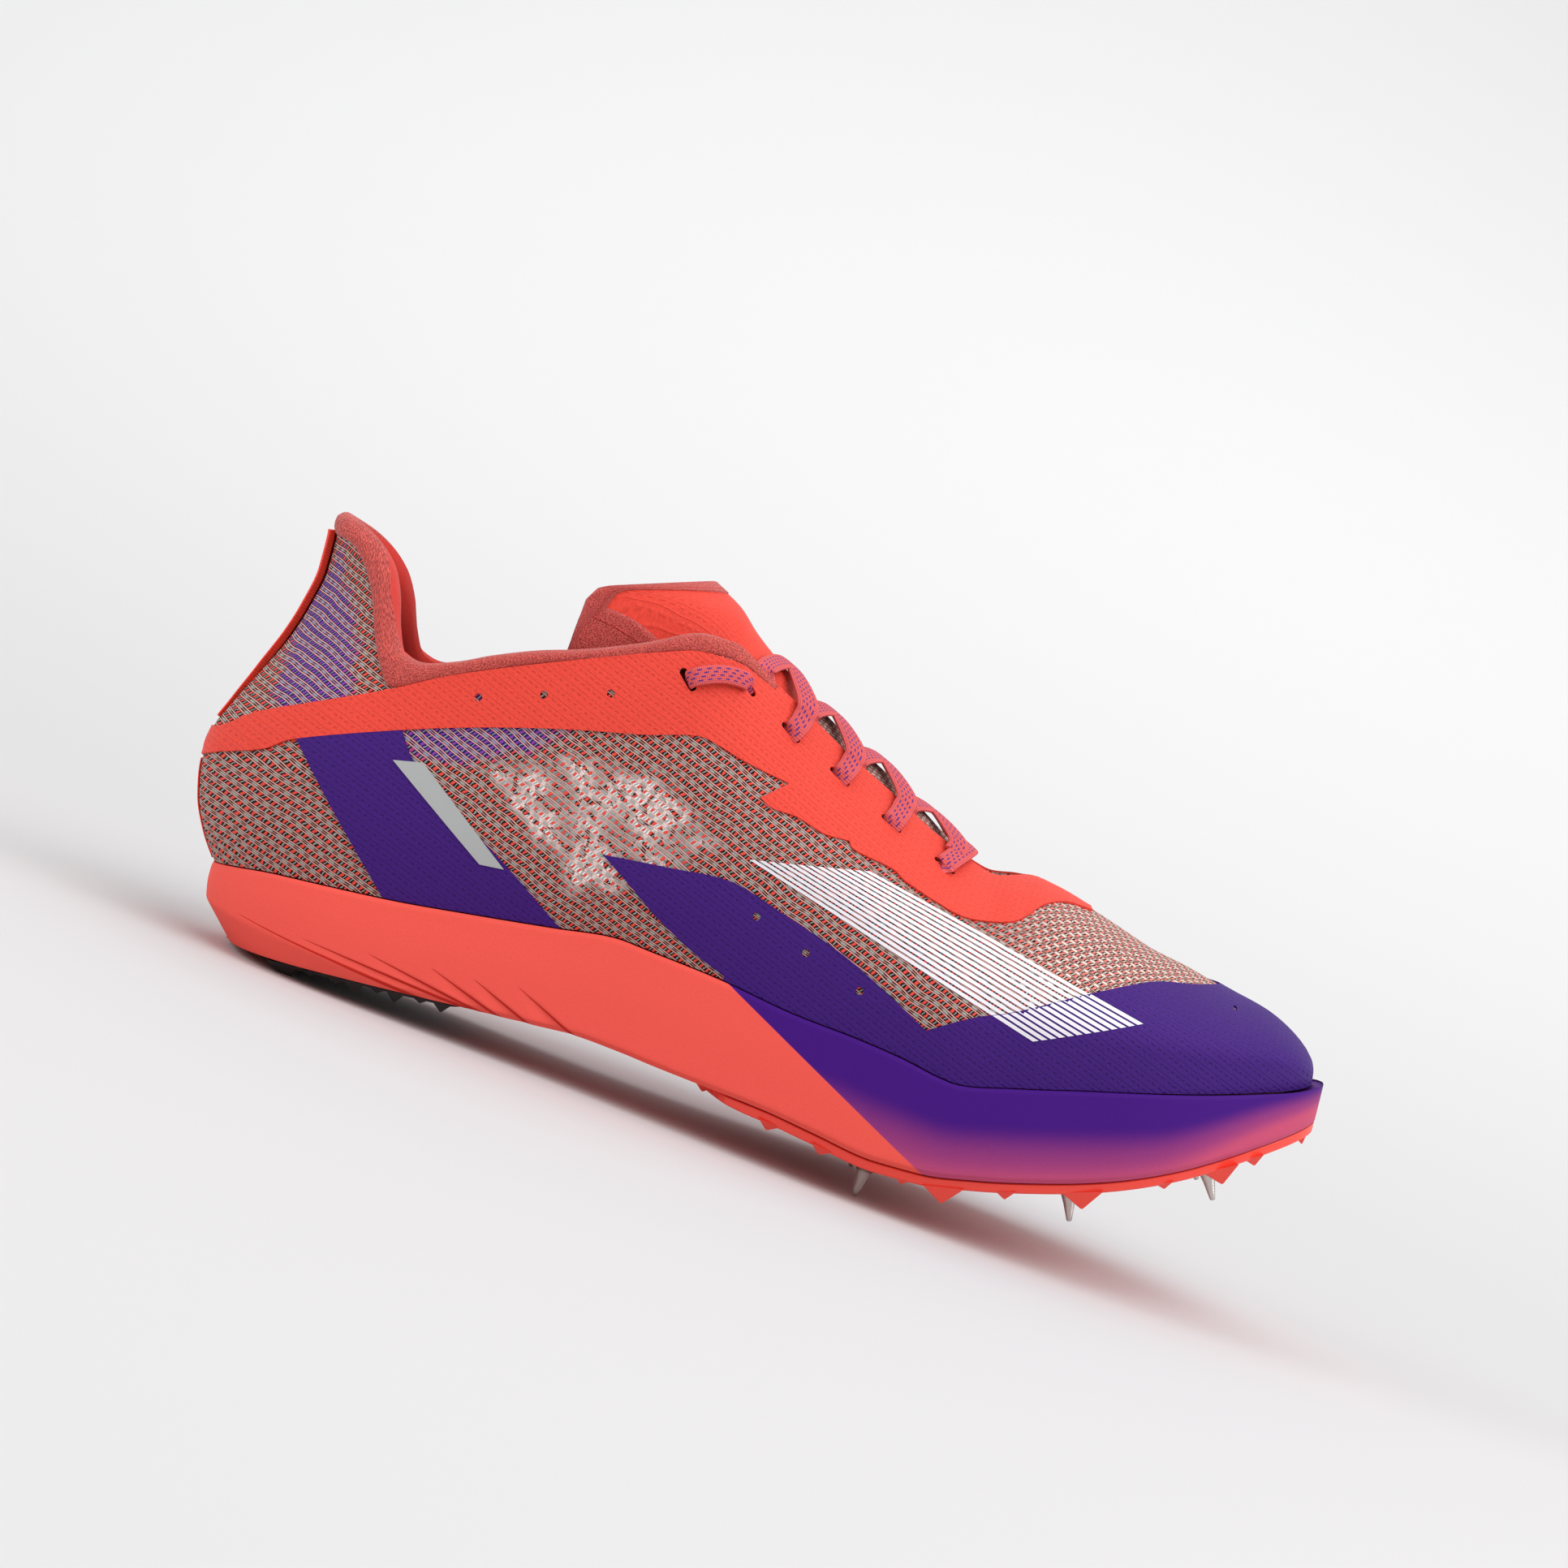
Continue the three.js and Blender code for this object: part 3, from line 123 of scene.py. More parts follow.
# share of length, then height of the topline or crest, half the opening, lean of the wall there in degrees
EDGE = [
    (0, 1, 0.36, -4), (0.035, 0.952, 0.37, -2), (0.07, 0.88, 0.42, 2), (0.088, 0.803, 0.48, 4),
    (0.1, 0.721, 0.53, 6), (0.115, 0.653, 0.58, 8), (0.139, 0.63, 0.62, 8), (0.172, 0.653, 0.645, 8),
    (0.2, 0.685, 0.66, 8), (0.24, 0.72, 0.67, 8), (0.27, 0.738, 0.67, 9), (0.33, 0.789, 0.655, 13),
    (0.385, 0.846, 0.6, 22), (0.4, 0.846, 0.55, 27), (0.413, 0.832, 0.5, 33), (0.449, 0.77, 0.44, 40),
    (0.484, 0.726, 0.4, 45), (0.523, 0.676, 0.37, 50), (0.566, 0.62, 0.345, 56), (0.609, 0.564, 0.31, 62),
    (0.646, 0.537, 0.265, 69), (0.67, 0.528, 0.21, 76), (0.688, 0.532, 0.12, 84), (0.7, 0.531, 0, 90),
    (0.726, 0.505, 0, 90), (0.76, 0.453, 0, 90), (0.793, 0.398, 0, 90), (0.825, 0.345, 0, 90),
    (0.857, 0.305, 0, 90), (0.889, 0.258, 0, 90), (0.92, 0.216, 0, 90), (0.945, 0.193, 0, 90),
    (1, 0.145, 0, 90),
]
# height above the feather (share of COLLAR_HEIGHT), forward shift of the heel (share of HEEL_CURVE)
BACK = [
    (0, -0.04), (0.07, -0.48), (0.16, -0.85), (0.25, -0.99), (0.3, -1), (0.35, -0.91), (0.44, -0.48),
    (0.54, 0.08), (0.64, 0.6), (0.74, 0.95), (0.84, 1.17), (0.93, 1.19), (1, 1.08),
]
MIDDLE = [(0, 0), (0.4, 0), (0.53, 0.05), (0.67, 0.09), (0.85, 0.12), (1, 0.13)]
UNDERSIDE = [
    (0, 0), (0.34, 0), (0.385, -0.045), (0.42, -0.1), (0.467, -0.165), (0.523, -0.245), (0.563, -0.33),
    (0.62, -0.445), (0.66, -0.456), (0.705, -0.395), (0.76, -0.28), (0.793, -0.195), (0.832, -0.066),
    (0.874, 0.108), (0.906, 0.268), (0.949, 0.504), (0.982, 0.684), (1, 0.785),
]
# ribs of the midsole side: start and end of each upper edge (share of length, share of SOLE_HEIGHT)
RIBS = [
    (0.102, 0.3, 0.262, 0), (0.16, 0.31, 0.276, -0.02), (0.215, 0.32, 0.288, -0.02),
    (0.253, 0.31, 0.315, -0.03), (0.291, 0.34, 0.355, -0.04),
]
# outlines in the side view: share of length, height above SOLE_HEIGHT as a share of COLLAR_HEIGHT
BAND = [
    (-0.08, 0.255), (-0.02, 0.29), (0.018, 0.36), (0.06, 0.415), (0.125, 0.5), (0.177, 0.578), (0.268, 0.685),
    (0.366, 0.785), (0.392, 0.79), (0.414, 0.78), (0.431, 0.757), (0.445, 0.735), (0.46, 0.86), (0.5, 0.99),
    (0.761, 0.99), (0.761, 0.353),
    (0.735, 0.362), (0.714, 0.345), (0.69, 0.29), (0.65, 0.272), (0.62, 0.295), (0.59, 0.33), (0.578, 0.352),
    (0.541, 0.38), (0.536, 0.398), (0.513, 0.402), (0.488, 0.428), (0.466, 0.436), (0.454, 0.455),
    (0.475, 0.507),
    (0.434, 0.537), (0.412, 0.56), (0.391, 0.574), (0.347, 0.545), (0.284, 0.512), (0.21, 0.462),
    (0.145, 0.406),
    (0.054, 0.312), (0.032, 0.27), (-0.012, 0.225), (-0.08, 0.14),
]
FOREFOOT = [
    (0.336, 0.214), (0.392, 0.222), (0.446, 0.226), (0.492, 0.181), (0.55, 0.115), (0.6, 0.035),
    (0.634, -0.027),
    (0.67, 0.035), (0.7, 0.07), (0.762, 0.159), (0.815, 0.216), (0.86, 0.23), (0.897, 0.238), (0.905, 0.3),
    (1.1, 0.3), (1.1, -0.2), (0.46, -0.2), (0.4595, -0.02), (0.43, 0.02), (0.391, 0.09), (0.365, 0.15),
]
HEEL_PANEL = [
    (0.058, 0.32), (0.1447, 0.41), (0.163, 0.33), (0.212, 0.22), (0.262, 0.115), (0.316, -0.01),
    (0.316, -0.2),
    (0.163, -0.2), (0.163, -0.04), (0.107, 0.15),
]
SLOTS = [(0.622, 0.385), (0.5685, 0.462), (0.516, 0.552), (0.4665, 0.636), (0.4215, 0.732), (0.371, 0.711)]
# tongue rows, toe end first: crest x and z, edge x and z, reach, fore, down, tilt
TONGUE = [
    (0.692, 0.355, 0.692, 0.33, 0.15, 1, 1, 0), (0.665, 0.378, 0.665, 0.312, 0.29, 1, 1, 0),
    (0.63, 0.442, 0.63, 0.34, 0.36, 1, 1, 0), (0.578, 0.55, 0.578, 0.416, 0.43, 1, 0.82, 0),
    (0.526, 0.642, 0.526, 0.486, 0.47, 1, 0.74, 0), (0.484, 0.722, 0.484, 0.545, 0.475, 1, 0.74, 0),
    (0.444, 0.807, 0.438, 0.6, 0.505, 1, 0.9, 0), (0.418, 0.87, 0.39, 0.63, 0.49, 0.9, 1.4, 0),
    (0.398, 0.93, 0.335, 0.665, 0.46, 1, 4.9, 0.15), (0.372, 0.978, 0.265, 0.72, 0.44, 1, 27, 0.36),
]
PINS = [("rear", 0.617, 0.56), ("middle", 0.79, 0.58), ("front", 0.905, 0.38)]
FIRST_HEEL_LUG = (0.088, 0.8)
REAR_PIN_SLOPE = -0.135
REAR_PIN_DROP = 0.25
# lower edge of the padded roll on the outside of the collar, from the heel: x and z in millimetres
ROLL_EDGE = [
    (-12, 112.5), (7.6, 108.1), (11, 105.2), (16.3, 103.7), (21.2, 99.5), (25.7, 91.4), (28.6, 83.5),
    (32, 76.4),
    (35.3, 71.8), (43.2, 74.9), (53.8, 79.6), (68.2, 85.4), (87.9, 91.9), (104.6, 97.4), (112, 98.2),
    (118, 97.3), (123, 95.1),
    (128, 92.4),
]
LINING_END = 127.0
SIDES = (-1, 1)
SIDE_NAMES = ((-1, "lateral"), (1, "medial"))


def clamp(value, low=0.0, high=1.0):
    return min(high, max(low, value))


def smooth(a, b, value):
    t = clamp((value - a) / (b - a))
    return t * t * (3 - 2 * t)


def column(rows, key):
    """A smooth curve through one column of a table that never overshoots its rows."""
    x = [row[0] for row in rows]
    y = [row[key] for row in rows]
    d = [(y[i + 1] - y[i]) / (x[i + 1] - x[i]) for i in range(len(x) - 1)]
    m = [d[0]] + [0 if a * b <= 0 else 2 * a * b / (a + b) for a, b in zip(d, d[1:])] + [d[-1]]

    def value(at):
        v = clamp(at, x[0], x[-1])
        i = 0
        while i < len(x) - 2 and v > x[i + 1]:
            i += 1
        h = x[i + 1] - x[i]
        t = (v - x[i]) / h
        return ((2 * t**3 - 3 * t**2 + 1) * y[i] + (t**3 - 2 * t**2 + t) * h * m[i]
                + (3 * t**2 - 2 * t**3) * y[i + 1] + (t**3 - t**2) * h * m[i + 1])

    return value


feather_height, feather_lateral, feather_medial = (column(FEATHER, k) for k in (1, 2, 3))
belly_height, belly_lateral, belly_medial = (column(BELLY, k) for k in (1, 2, 3))
edge_height, edge_opening, edge_lean = (column(EDGE, k) for k in (1, 2, 3))
back = column(BACK, 1)
middle = column(MIDDLE, 1)
underside = column(UNDERSIDE, 1)
roll_edge = column(ROLL_EDGE, 1)


def seat(at):
    return feather_height(at) * SOLE_HEIGHT


def feather_half(at, side):
    return (feather_lateral if side < 0 else feather_medial)(at) * HALF


def rounding(length, reach):
    a = clamp(length / reach)
    return math.sqrt(1 - (1 - a) ** 2)


def plan_share(from_heel, from_toe):
    """How much of its width the last keeps near its two ends."""
    return rounding(from_heel, HEEL_ROUND) * rounding(from_toe, TOE_ROUND)


def padding(at):
    """1 along the padded collar and 0 past its ends at the throat."""
    return smooth(0.415, 0.375, at)


def halving(low, high, times_halved, below):
    """Closes in on the place where a test that holds at low stops holding."""
    for _ in range(times_halved):
        mid = (low + high) / 2
        if below(mid):
            low = mid
        else:
            high = mid
    return low, high


def bezier(a, b, c, d, t):
    u = 1 - t
    return [u**3 * p + 3 * u * u * t * q + 3 * u * t * t * r + t**3 * w for p, q, r, w in zip(a, b, c, d)]


@lru_cache(maxsize=None)
def section(s, side):
    """What a section of the upper at station s needs, whatever the height and the inset."""
    base = s * UPPER_LENGTH
    at = base / SOLE_LENGTH
    crown = rounding(UPPER_LENGTH - base, TOE_CROWN)
    low = seat(at)
    return (
        base, at, plan_share(base, UPPER_LENGTH - base), low, feather_half(at, side),
        (belly_lateral if side < 0 else belly_medial)(at) * HALF,
        low + belly_height(at) * COLLAR_HEIGHT * crown,
        0.0 if at >= THROAT_END else edge_opening(at) * HALF, low + edge_height(at) * COLLAR_HEIGHT * crown,
        math.radians(edge_lean(at)), ROLL * padding(at), middle(at) * HALF,
        clamp(1 - base / (SOLE_LENGTH * 0.2)) ** 2,
    )


def pad(at, v):
    return COLLAR_PAD * padding(at) * smooth(0.7, 0.93, v)


def form(s, v, side, d=0.0):
    """A point of the upper at station s and height v up the section, d inwards from the fabric's outside."""
    base, at, plan, low, feather, belly, belly_z, opening, top, lean, roll, shift, fall = section(s, side)
    f = (feather - d, low)
    b = (belly - d, belly_z)
    t = (opening - d * math.cos(lean) * clamp(opening / 8), top - d * math.sin(lean) - roll)
    if v <= BELLY_SHARE:
        w, z = bezier(f, (f[0] + 0.6 * (b[0] - f[0]), f[1] + 0.35 * (b[1] - f[1])),
                      (b[0], b[1] - 0.4 * (b[1] - f[1])), b, v / BELLY_SHARE)
    else:
        reach = math.hypot(b[0] - t[0], t[1] - b[1])
        w, z = bezier(b, (b[0], b[1] + 0.45 * (t[1] - b[1])),
                      (t[0] + 0.36 * reach * math.sin(lean), t[1] - 0.36 * reach * math.cos(lean)), t,
                      (v - BELLY_SHARE) / (1 - BELLY_SHARE))
    y = shift + plan * (side * w - shift * (1 - smooth(BELLY_SHARE, 1, v)))
    x = d + (UPPER_LENGTH - 2 * d) * s + HEEL_CURVE * back((z - low) / COLLAR_HEIGHT) * fall
    return Vector((x, y, z))


def height_at(s, z, side):
    low, high = halving(0.0, 1.0, 16, lambda v: form(s, v, side).z < z)
    return (low + high) / 2


def locate(x, z, side):
    """Station and height up the section of a place in the side view."""
    s = clamp(x / UPPER_LENGTH)
    v = height_at(s, z, side)
    for _ in range(4 if x < 70 else 1):
        s = clamp(s + (x - form(s, v, side).x) / UPPER_LENGTH)
        v = height_at(s, z, side)
    if v < 1e-4:
        v = 0.0
    return s, (1.0 if v > 1 - 1e-4 else v)


def normal_at(s, v, side):
    du = form(min(1, s + 0.004), v, side) - form(max(0, s - 0.004), v, side)
    dv = form(s, min(1, v + 0.01), side) - form(s, max(0, v - 0.01), side)
    n = du.cross(dv).normalized()
    return n if side < 0 else -n


@lru_cache(maxsize=None)
def arc_table(s, side):
    """Lengths up the section from the feather line, at even steps of v."""
    steps = 24
    points = [form(s, i / steps, side) for i in range(steps + 1)]
    lengths = [0.0]
    for p, q in zip(points, points[1:]):
        lengths.append(lengths[-1] + (q - p).length)
    return lengths


def arc(s, v, side):
    lengths = arc_table(round(s, 3), side)
    t = v * (len(lengths) - 1)
    i = min(int(t), len(lengths) - 2)
    return seat(s * UPPER_LENGTH / SOLE_LENGTH) + lengths[i] + (lengths[i + 1] - lengths[i]) * (t - i)


def side_view(place):
    return place[0] * SOLE_LENGTH, SOLE_HEIGHT + place[1] * COLLAR_HEIGHT


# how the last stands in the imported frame
def plate_top(at):
    return underside(at) * SOLE_HEIGHT - GAP


def pin_place(at, across, side):
    slope = (underside(at + 0.02) - underside(at - 0.02)) * SOLE_HEIGHT / (0.04 * SOLE_LENGTH)
    axis = Vector((slope, 0, -1)).normalized()
    head = Vector((at * SOLE_LENGTH, side * across * HALF, plate_top(at) - PLATE)) + axis * GAP
    if at == PINS[0][1]:
        axis = Vector((REAR_PIN_SLOPE, 0, -1)).normalized()
        head += axis * REAR_PIN_DROP
    return head, axis


def stand():
    """The matrix from the last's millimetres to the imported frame's metres."""
    head, axis = pin_place(*PINS[0][1:], 1)
    end = head + axis * (FLANGE_HEIGHT + PIN_LENGTH)
    foot = Vector((FIRST_HEEL_LUG[0] * SOLE_LENGTH, 0, -GAP - RUBBER - HEEL_LUG_HEIGHT * FIRST_HEEL_LUG[1]))
    tip = math.atan2(foot.z - end.z, end.x - foot.x)
    turn = Matrix.Rotation(-tip, 4, "Y")
    rim_x = (turn @ (head + axis.cross(Vector((0, 1, 0))).normalized() * PIN_FLANGE)).x
    rim_low = min(rim_x, 2 * (turn @ head).x - rim_x)
    boxes = [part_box(f"pin_rear_{name}") for name in ("lateral", "medial")]
    shift = Vector((
        boxes[1][0].x * 1000 - rim_low,
        sum(low.y + high.y for low, high in boxes) * 1000 / 4,
        -min((turn @ end).z, (turn @ foot).z),
    ))
    return Matrix.Scale(0.001, 4) @ Matrix.Translation(shift) @ turn


STAND = stand()


# meshes
class Skin:
    """A mesh in the last's millimetres.

    Chart "yarn" runs along and up the fabric, and chart "side" is the side view.
    """

    def __init__(self):
        self.bm = bmesh.new()
        self.yarn = self.bm.loops.layers.uv.new("yarn")
        self.side = self.bm.loops.layers.uv.new("side")

    def add(self, points, faces, yarn, flip=False):
        verts = [self.bm.verts.new(p) for p in points]
        for face in faces:
            order = list(reversed(face)) if flip else list(face)
            corners = [i for k, i in enumerate(order) if (points[i] - points[order[k - 1]]).length > 1e-4]
            if len(corners) < 3:
                continue
            made = self.bm.faces.new([verts[i] for i in corners])
            for loop, i in zip(made.loops, corners):
                loop[self.yarn].uv = yarn[i]
                loop[self.side].uv = (points[i].x, points[i].z)

    def grid(self, rows, yarn, flip=False, ring=False):
        """Rows of points of one length; ring joins each row's last point to its first."""
        n = len(rows[0])
        points = [p for row in rows for p in row]
        charts = [c for row in yarn for c in row]
        faces = []
        for r in range(len(rows) - 1):
            for c in range(n if ring else n - 1):
                d = (c + 1) % n
                faces.append((r * n + c, r * n + d, (r + 1) * n + d, (r + 1) * n + c))
        self.add(points, faces, charts, flip)

    def cap(self, row, chart, flip=False):
        self.add(row, [tuple(range(len(row)))], [chart] * len(row), flip)

    def weld(self, distance=0.01):
        bmesh.ops.remove_doubles(self.bm, verts=self.bm.verts, dist=distance)

    def hem(self, drops):
        """Turns the open border down along the surface normal, one ring for each depth, with a crisp edge."""
        self.bm.normal_update()
        depth_from = 0.0
        normals = {}
        for depth in drops:
            border = [e for e in self.bm.edges if e.is_boundary]
            for e in border:
                for v in e.verts:
                    normals.setdefault(v, v.normal.copy())
            for e in border:
                e.smooth = False
            made = bmesh.ops.extrude_edge_only(self.bm, edges=border)["geom"]
            fresh = [g for g in made if isinstance(g, bmesh.types.BMVert)]
            before = {}
            for v in fresh:
                for e in v.link_edges:
                    other = e.other_vert(v)
                    if other in normals:
                        before[v] = other
            for v in fresh:
                if v in before:
                    n = normals[before[v]]
                    v.co -= n * (depth - depth_from)
                    normals[v] = n
            depth_from = depth
            for g in made:
                if isinstance(g, bmesh.types.BMFace):
                    for loop in g.loops:
                        source = before.get(loop.vert, loop.vert)
                        inner = next((k for k in source.link_loops if k.face is not g), None)
                        if inner is not None:
                            loop[self.yarn].uv = inner[self.yarn].uv
                            loop[self.side].uv = inner[self.side].uv
            for old in before.values():
                normals.pop(old, None)

    def piece(self, name, material, slot, replaces=(), soft=True):
        self.bm.normal_update()
        mesh = bpy.data.meshes.new(name)
        for face in self.bm.faces:
            face.smooth = soft
        self.bm.to_mesh(mesh)
        self.bm.free()
        mesh.transform(STAND)
        mesh.materials.append(material)
        obj = bpy.data.objects.new(name, mesh)
        bpy.context.scene.collection.objects.link(obj)
        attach(obj, "root")
        if replaces:
            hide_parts(*replaces)
        return obj


def catmull(points, per):
    out = []
    last = len(points) - 1
    for i in range(last):
        a, b, c, d = points[max(0, i - 1)], points[i], points[i + 1], points[min(last, i + 2)]
        for k in range(per):
            t = k / per
            square = (2 * a - 5 * b + 4 * c - d) * t * t
            cube = (3 * b - a - 3 * c + d) * t**3
            out.append(0.5 * (2 * b + (c - a) * t + square + cube))
    out.append(points[last].copy())
    return out


def soften(outline, corner=38.0, step=0.9):
    """A closed outline of the side view with its gentle bends rounded and its sharp corners kept."""
    points = [Vector(side_view(p)) for p in outline]
    n = len(points)
    sharp = []
    for i in range(n):
        a = points[i] - points[i - 1]
        b = points[(i + 1) % n] - points[i]
        sharp.append(math.degrees(a.angle(b)) > corner)
    out = []
    for i in range(n):
        b, c = points[i], points[(i + 1) % n]
        a = b - (c - b) * 0.3 if sharp[i] else points[i - 1]
        d = c + (c - b) * 0.3 if sharp[(i + 1) % n] else points[(i + 2) % n]
        count = max(1, math.ceil((c - b).length / step))
        span = (c - b).length
        ta = (c - a).normalized() * span
        tb = (d - b).normalized() * span
        for k in range(count):
            t = k / count
            out.append((2 * t**3 - 3 * t**2 + 1) * b + (t**3 - 2 * t**2 + t) * ta
                       + (3 * t**2 - 2 * t**3) * c + (t**3 - t**2) * tb)
    return [tuple(p) for p in out]


def inside(points, loops):
    """Even-odd test of many points against closed loops."""
    p = np.asarray(points, dtype=float)
    hit = np.zeros(len(p), dtype=bool)
    for loop in loops:
        a = np.asarray(loop, dtype=float)
        b = np.roll(a, -1, axis=0)
        for (ax, ay), (bx, by) in zip(a, b):
            if ay == by:
                continue
            cross = (ay > p[:, 1]) != (by > p[:, 1])
            hit ^= cross & (p[:, 0] < (bx - ax) * (p[:, 1] - ay) / (by - ay) + ax)
    return hit


CHART_HEIGHT = 80.0


def chart(x, z, side):
    s, v = locate(x, z, side)
    return s * UPPER_LENGTH, v * CHART_HEIGHT


def thin(loop, least=0.08):
    out = []
    for p in loop:
        if not out or math.dist(p, out[-1]) > least:
            out.append(p)
    while len(out) > 2 and math.dist(out[0], out[-1]) <= least:
        out.pop()
    return out


def cut_sheet(loops, spacing=(1.8, 2.2)):
    """Triangles of the area between closed loops of the chart, with an even grid inside."""
    loops = [thin(loop) for loop in loops]
    edge_points = [p for loop in loops for p in loop]
    edges = []
    start = 0
    for loop in loops:
        edges += [(start + i, start + (i + 1) % len(loop)) for i in range(len(loop))]
        start += len(loop)
    low = np.min(edge_points, axis=0)
    high = np.max(edge_points, axis=0)
    xs = np.arange(low[0] + spacing[0] / 2, high[0], spacing[0])
    ys = np.arange(low[1] + spacing[1] / 2, high[1], spacing[1])
    field = np.array([(x, y) for x in xs for y in ys])
    if len(field):
        field = field[inside(field, loops)]
    if len(field):
        border = KDTree(len(edge_points))
        for i, p in enumerate(edge_points):
            border.insert((*p, 0), i)
        border.balance()
        near = np.array([border.find((*p, 0))[2] for p in field])
        field = field[near > 0.45 * min(spacing)]
    verts = [Vector(p) for p in edge_points] + [Vector(p) for p in field]
    points, _, faces, *_ = delaunay_2d_cdt(verts, edges, [], 0, 1e-5)
    middles = [sum((points[i] for i in f), Vector((0, 0))) / len(f) for f in faces]
    keep = inside([tuple(m) for m in middles], loops)
    return [tuple(p) for p in points], [tuple(f) for f, k in zip(faces, keep) if k]


def lay(skin, loops, side, lift, inner=False, spacing=(1.8, 2.2)):
    """Lays the area between the loops on the upper, lift outwards from the fabric."""
    charts, faces = cut_sheet(loops, spacing)
    spots = [(clamp(x / UPPER_LENGTH), clamp(y / CHART_HEIGHT)) for x, y in charts]
    lifts = lift([form(s, v, side) for s, v in spots]) if callable(lift) else [lift] * len(spots)
    points = [form(s, v, side, -up) for (s, v), up in zip(spots, lifts)]
    yarn = [(s * UPPER_LENGTH, arc(s, v, side)) for s, v in spots]
    area = sum(
        (charts[f[1]][0] - charts[f[0]][0]) * (charts[f[2]][1] - charts[f[0]][1])
        - (charts[f[2]][0] - charts[f[0]][0]) * (charts[f[1]][1] - charts[f[0]][1]) for f in faces)
    flip = (side > 0) ^ inner ^ (area < 0)
    skin.add(points, faces, yarn, flip)


def slot_places():
    out = {}
    spots = [side_view(p) for p in SLOTS]
    for row, (x, z) in enumerate(spots):
        for side in SIDES:
            s, v = locate(x, z, side)
            p = form(s, v, side)
            n = normal_at(s, v, side)
            next_x, next_z = spots[row + 1] if row < 4 else (x - 14, z + (15 if row == 4 else 16))
            run = Vector((x - next_x, 0, z - next_z)).normalized()
            along = (run - n * run.dot(n)).normalized()
            out[row, side] = (p, n, along, along.cross(n))
    return out


SLOT_PLACES = slot_places()


def stadium(row, side, grow=0.0):
    """The rounded outline of an eyelet slot, in the chart of the upper."""
    p, _, along, across = SLOT_PLACES[row, side]
    r = SLOT_WIDTH / 2 + grow
    half = SLOT_LENGTH / 2 - SLOT_WIDTH / 2
    loop = []
    for end in (1, -1):
        for k in range(9):
            a = math.radians(-90 + 180 * k / 8)
            q = p + along * end * (half + r * math.cos(a)) + across * end * r * math.sin(a)
            loop.append(chart(q.x, q.z, side))
    return loop


def eyelets(side, grow=0.0):
    return [stadium(row, side, grow) for row in range(len(SLOTS))]


def disc(x, z, radius, side, count=14):
    turns = [2 * math.pi * k / count for k in range(count)]
    return [chart(x + radius * math.cos(a), z + radius * math.sin(a), side) for a in turns]


# shader nodes
def linear(red, green, blue):
    """A colour given in 0 to 255 as the light it reflects."""
    shares = (red / 255, green / 255, blue / 255)
    return tuple(c / 12.92 if c <= 0.04045 else ((c + 0.055) / 1.055) ** 2.4 for c in shares)


def rgba(colour):
    return (*colour, 1.0)


def put(tree, value, socket):
    if isinstance(value, bpy.types.NodeSocket):
        tree.links.new(value, socket)
    else:
        socket.default_value = value


def add(tree, kind, inputs=None, **settings):
    made = tree.nodes.new(kind)
    for key, value in settings.items():
        setattr(made, key, value)
    for key, value in (inputs or {}).items():
        put(tree, value, made.inputs[key])
    return made


def calc(tree, operation, *values):
    made = add(tree, "ShaderNodeMath", operation=operation)
    for i, value in enumerate(values):
        put(tree, value, made.inputs[i])
    return made.outputs[0]


def chained(tree, operation, values):
    out = values[0]
    for value in values[1:]:
        out = calc(tree, operation, out, value)
    return out


def total(tree, *values):
    return chained(tree, "ADD", values)


def times(tree, *values):
    return chained(tree, "MULTIPLY", values)


def most(tree, *values):
    return chained(tree, "MAXIMUM", values)


def minus(tree, a, b):
    return calc(tree, "SUBTRACT", a, b)


def over(tree, a, b):
    return calc(tree, "DIVIDE", a, b)


def xyz(tree, vector):
    return add(tree, "ShaderNodeSeparateXYZ", {0: vector}).outputs


def paint(tree, shader, colour):
    put(tree, colour, shader.inputs["Base Color"])


def ramp(tree, value, low, high):
    """0 below low and 1 above high, with a soft step between."""
    made = add(tree, "ShaderNodeMapRange", {"Value": value, "From Min": low, "From Max": high},
               interpolation_type="SMOOTHSTEP", clamp=True)
    return made.outputs[0]


def band(tree, value, low, high, blur):
    """1 between low and high, with soft steps at both."""
    past_low = ramp(tree, value, low - blur, low + blur)
    past_high = ramp(tree, value, high - blur, high + blur)
    return times(tree, past_low, minus(tree, 1.0, past_high))


def blend(tree, mask, a, b):
    made = add(tree, "ShaderNodeMix", data_type="RGBA", clamp_factor=True)
    put(tree, mask, made.inputs[0])
    put(tree, a, made.inputs[6])
    put(tree, b, made.inputs[7])
    return made.outputs[2]


def noise(tree, vector, scale, detail=2.0, rough=0.5):
    inputs = {"Vector": vector, "Scale": scale, "Detail": detail, "Roughness": rough}
    return add(tree, "ShaderNodeTexNoise", inputs).outputs[0]


def new_group(name, inputs, outputs):
    tree = bpy.data.node_groups.new(name, "ShaderNodeTree")
    for key, kind, default in inputs:
        socket = tree.interface.new_socket(key, in_out="INPUT", socket_type=f"NodeSocket{kind}")
        if default is not None:
            socket.default_value = default
    for key, kind in outputs:
        tree.interface.new_socket(key, in_out="OUTPUT", socket_type=f"NodeSocket{kind}")
    return tree, tree.nodes.new("NodeGroupInput").outputs, tree.nodes.new("NodeGroupOutput").inputs


KNIT_ANGLE = math.radians(25)
ROW_PITCH = 2.5
RUNG_PITCH = 1.8
FLOAT_PITCH = 2.8


def rows_of(tree, vector, pitch):
    """Place along the yarns, place within a row from 0 to 1, and the row's number."""
    split = xyz(tree, vector)
    cos, sin = math.cos(KNIT_ANGLE), math.sin(KNIT_ANGLE)
    along = minus(tree, times(tree, split[0], cos), times(tree, split[1], sin))
    across = total(tree, times(tree, split[0], sin), times(tree, split[1], cos))
    row = over(tree, across, pitch)
    return along, calc(tree, "FRACT", row), calc(tree, "FLOOR", row)


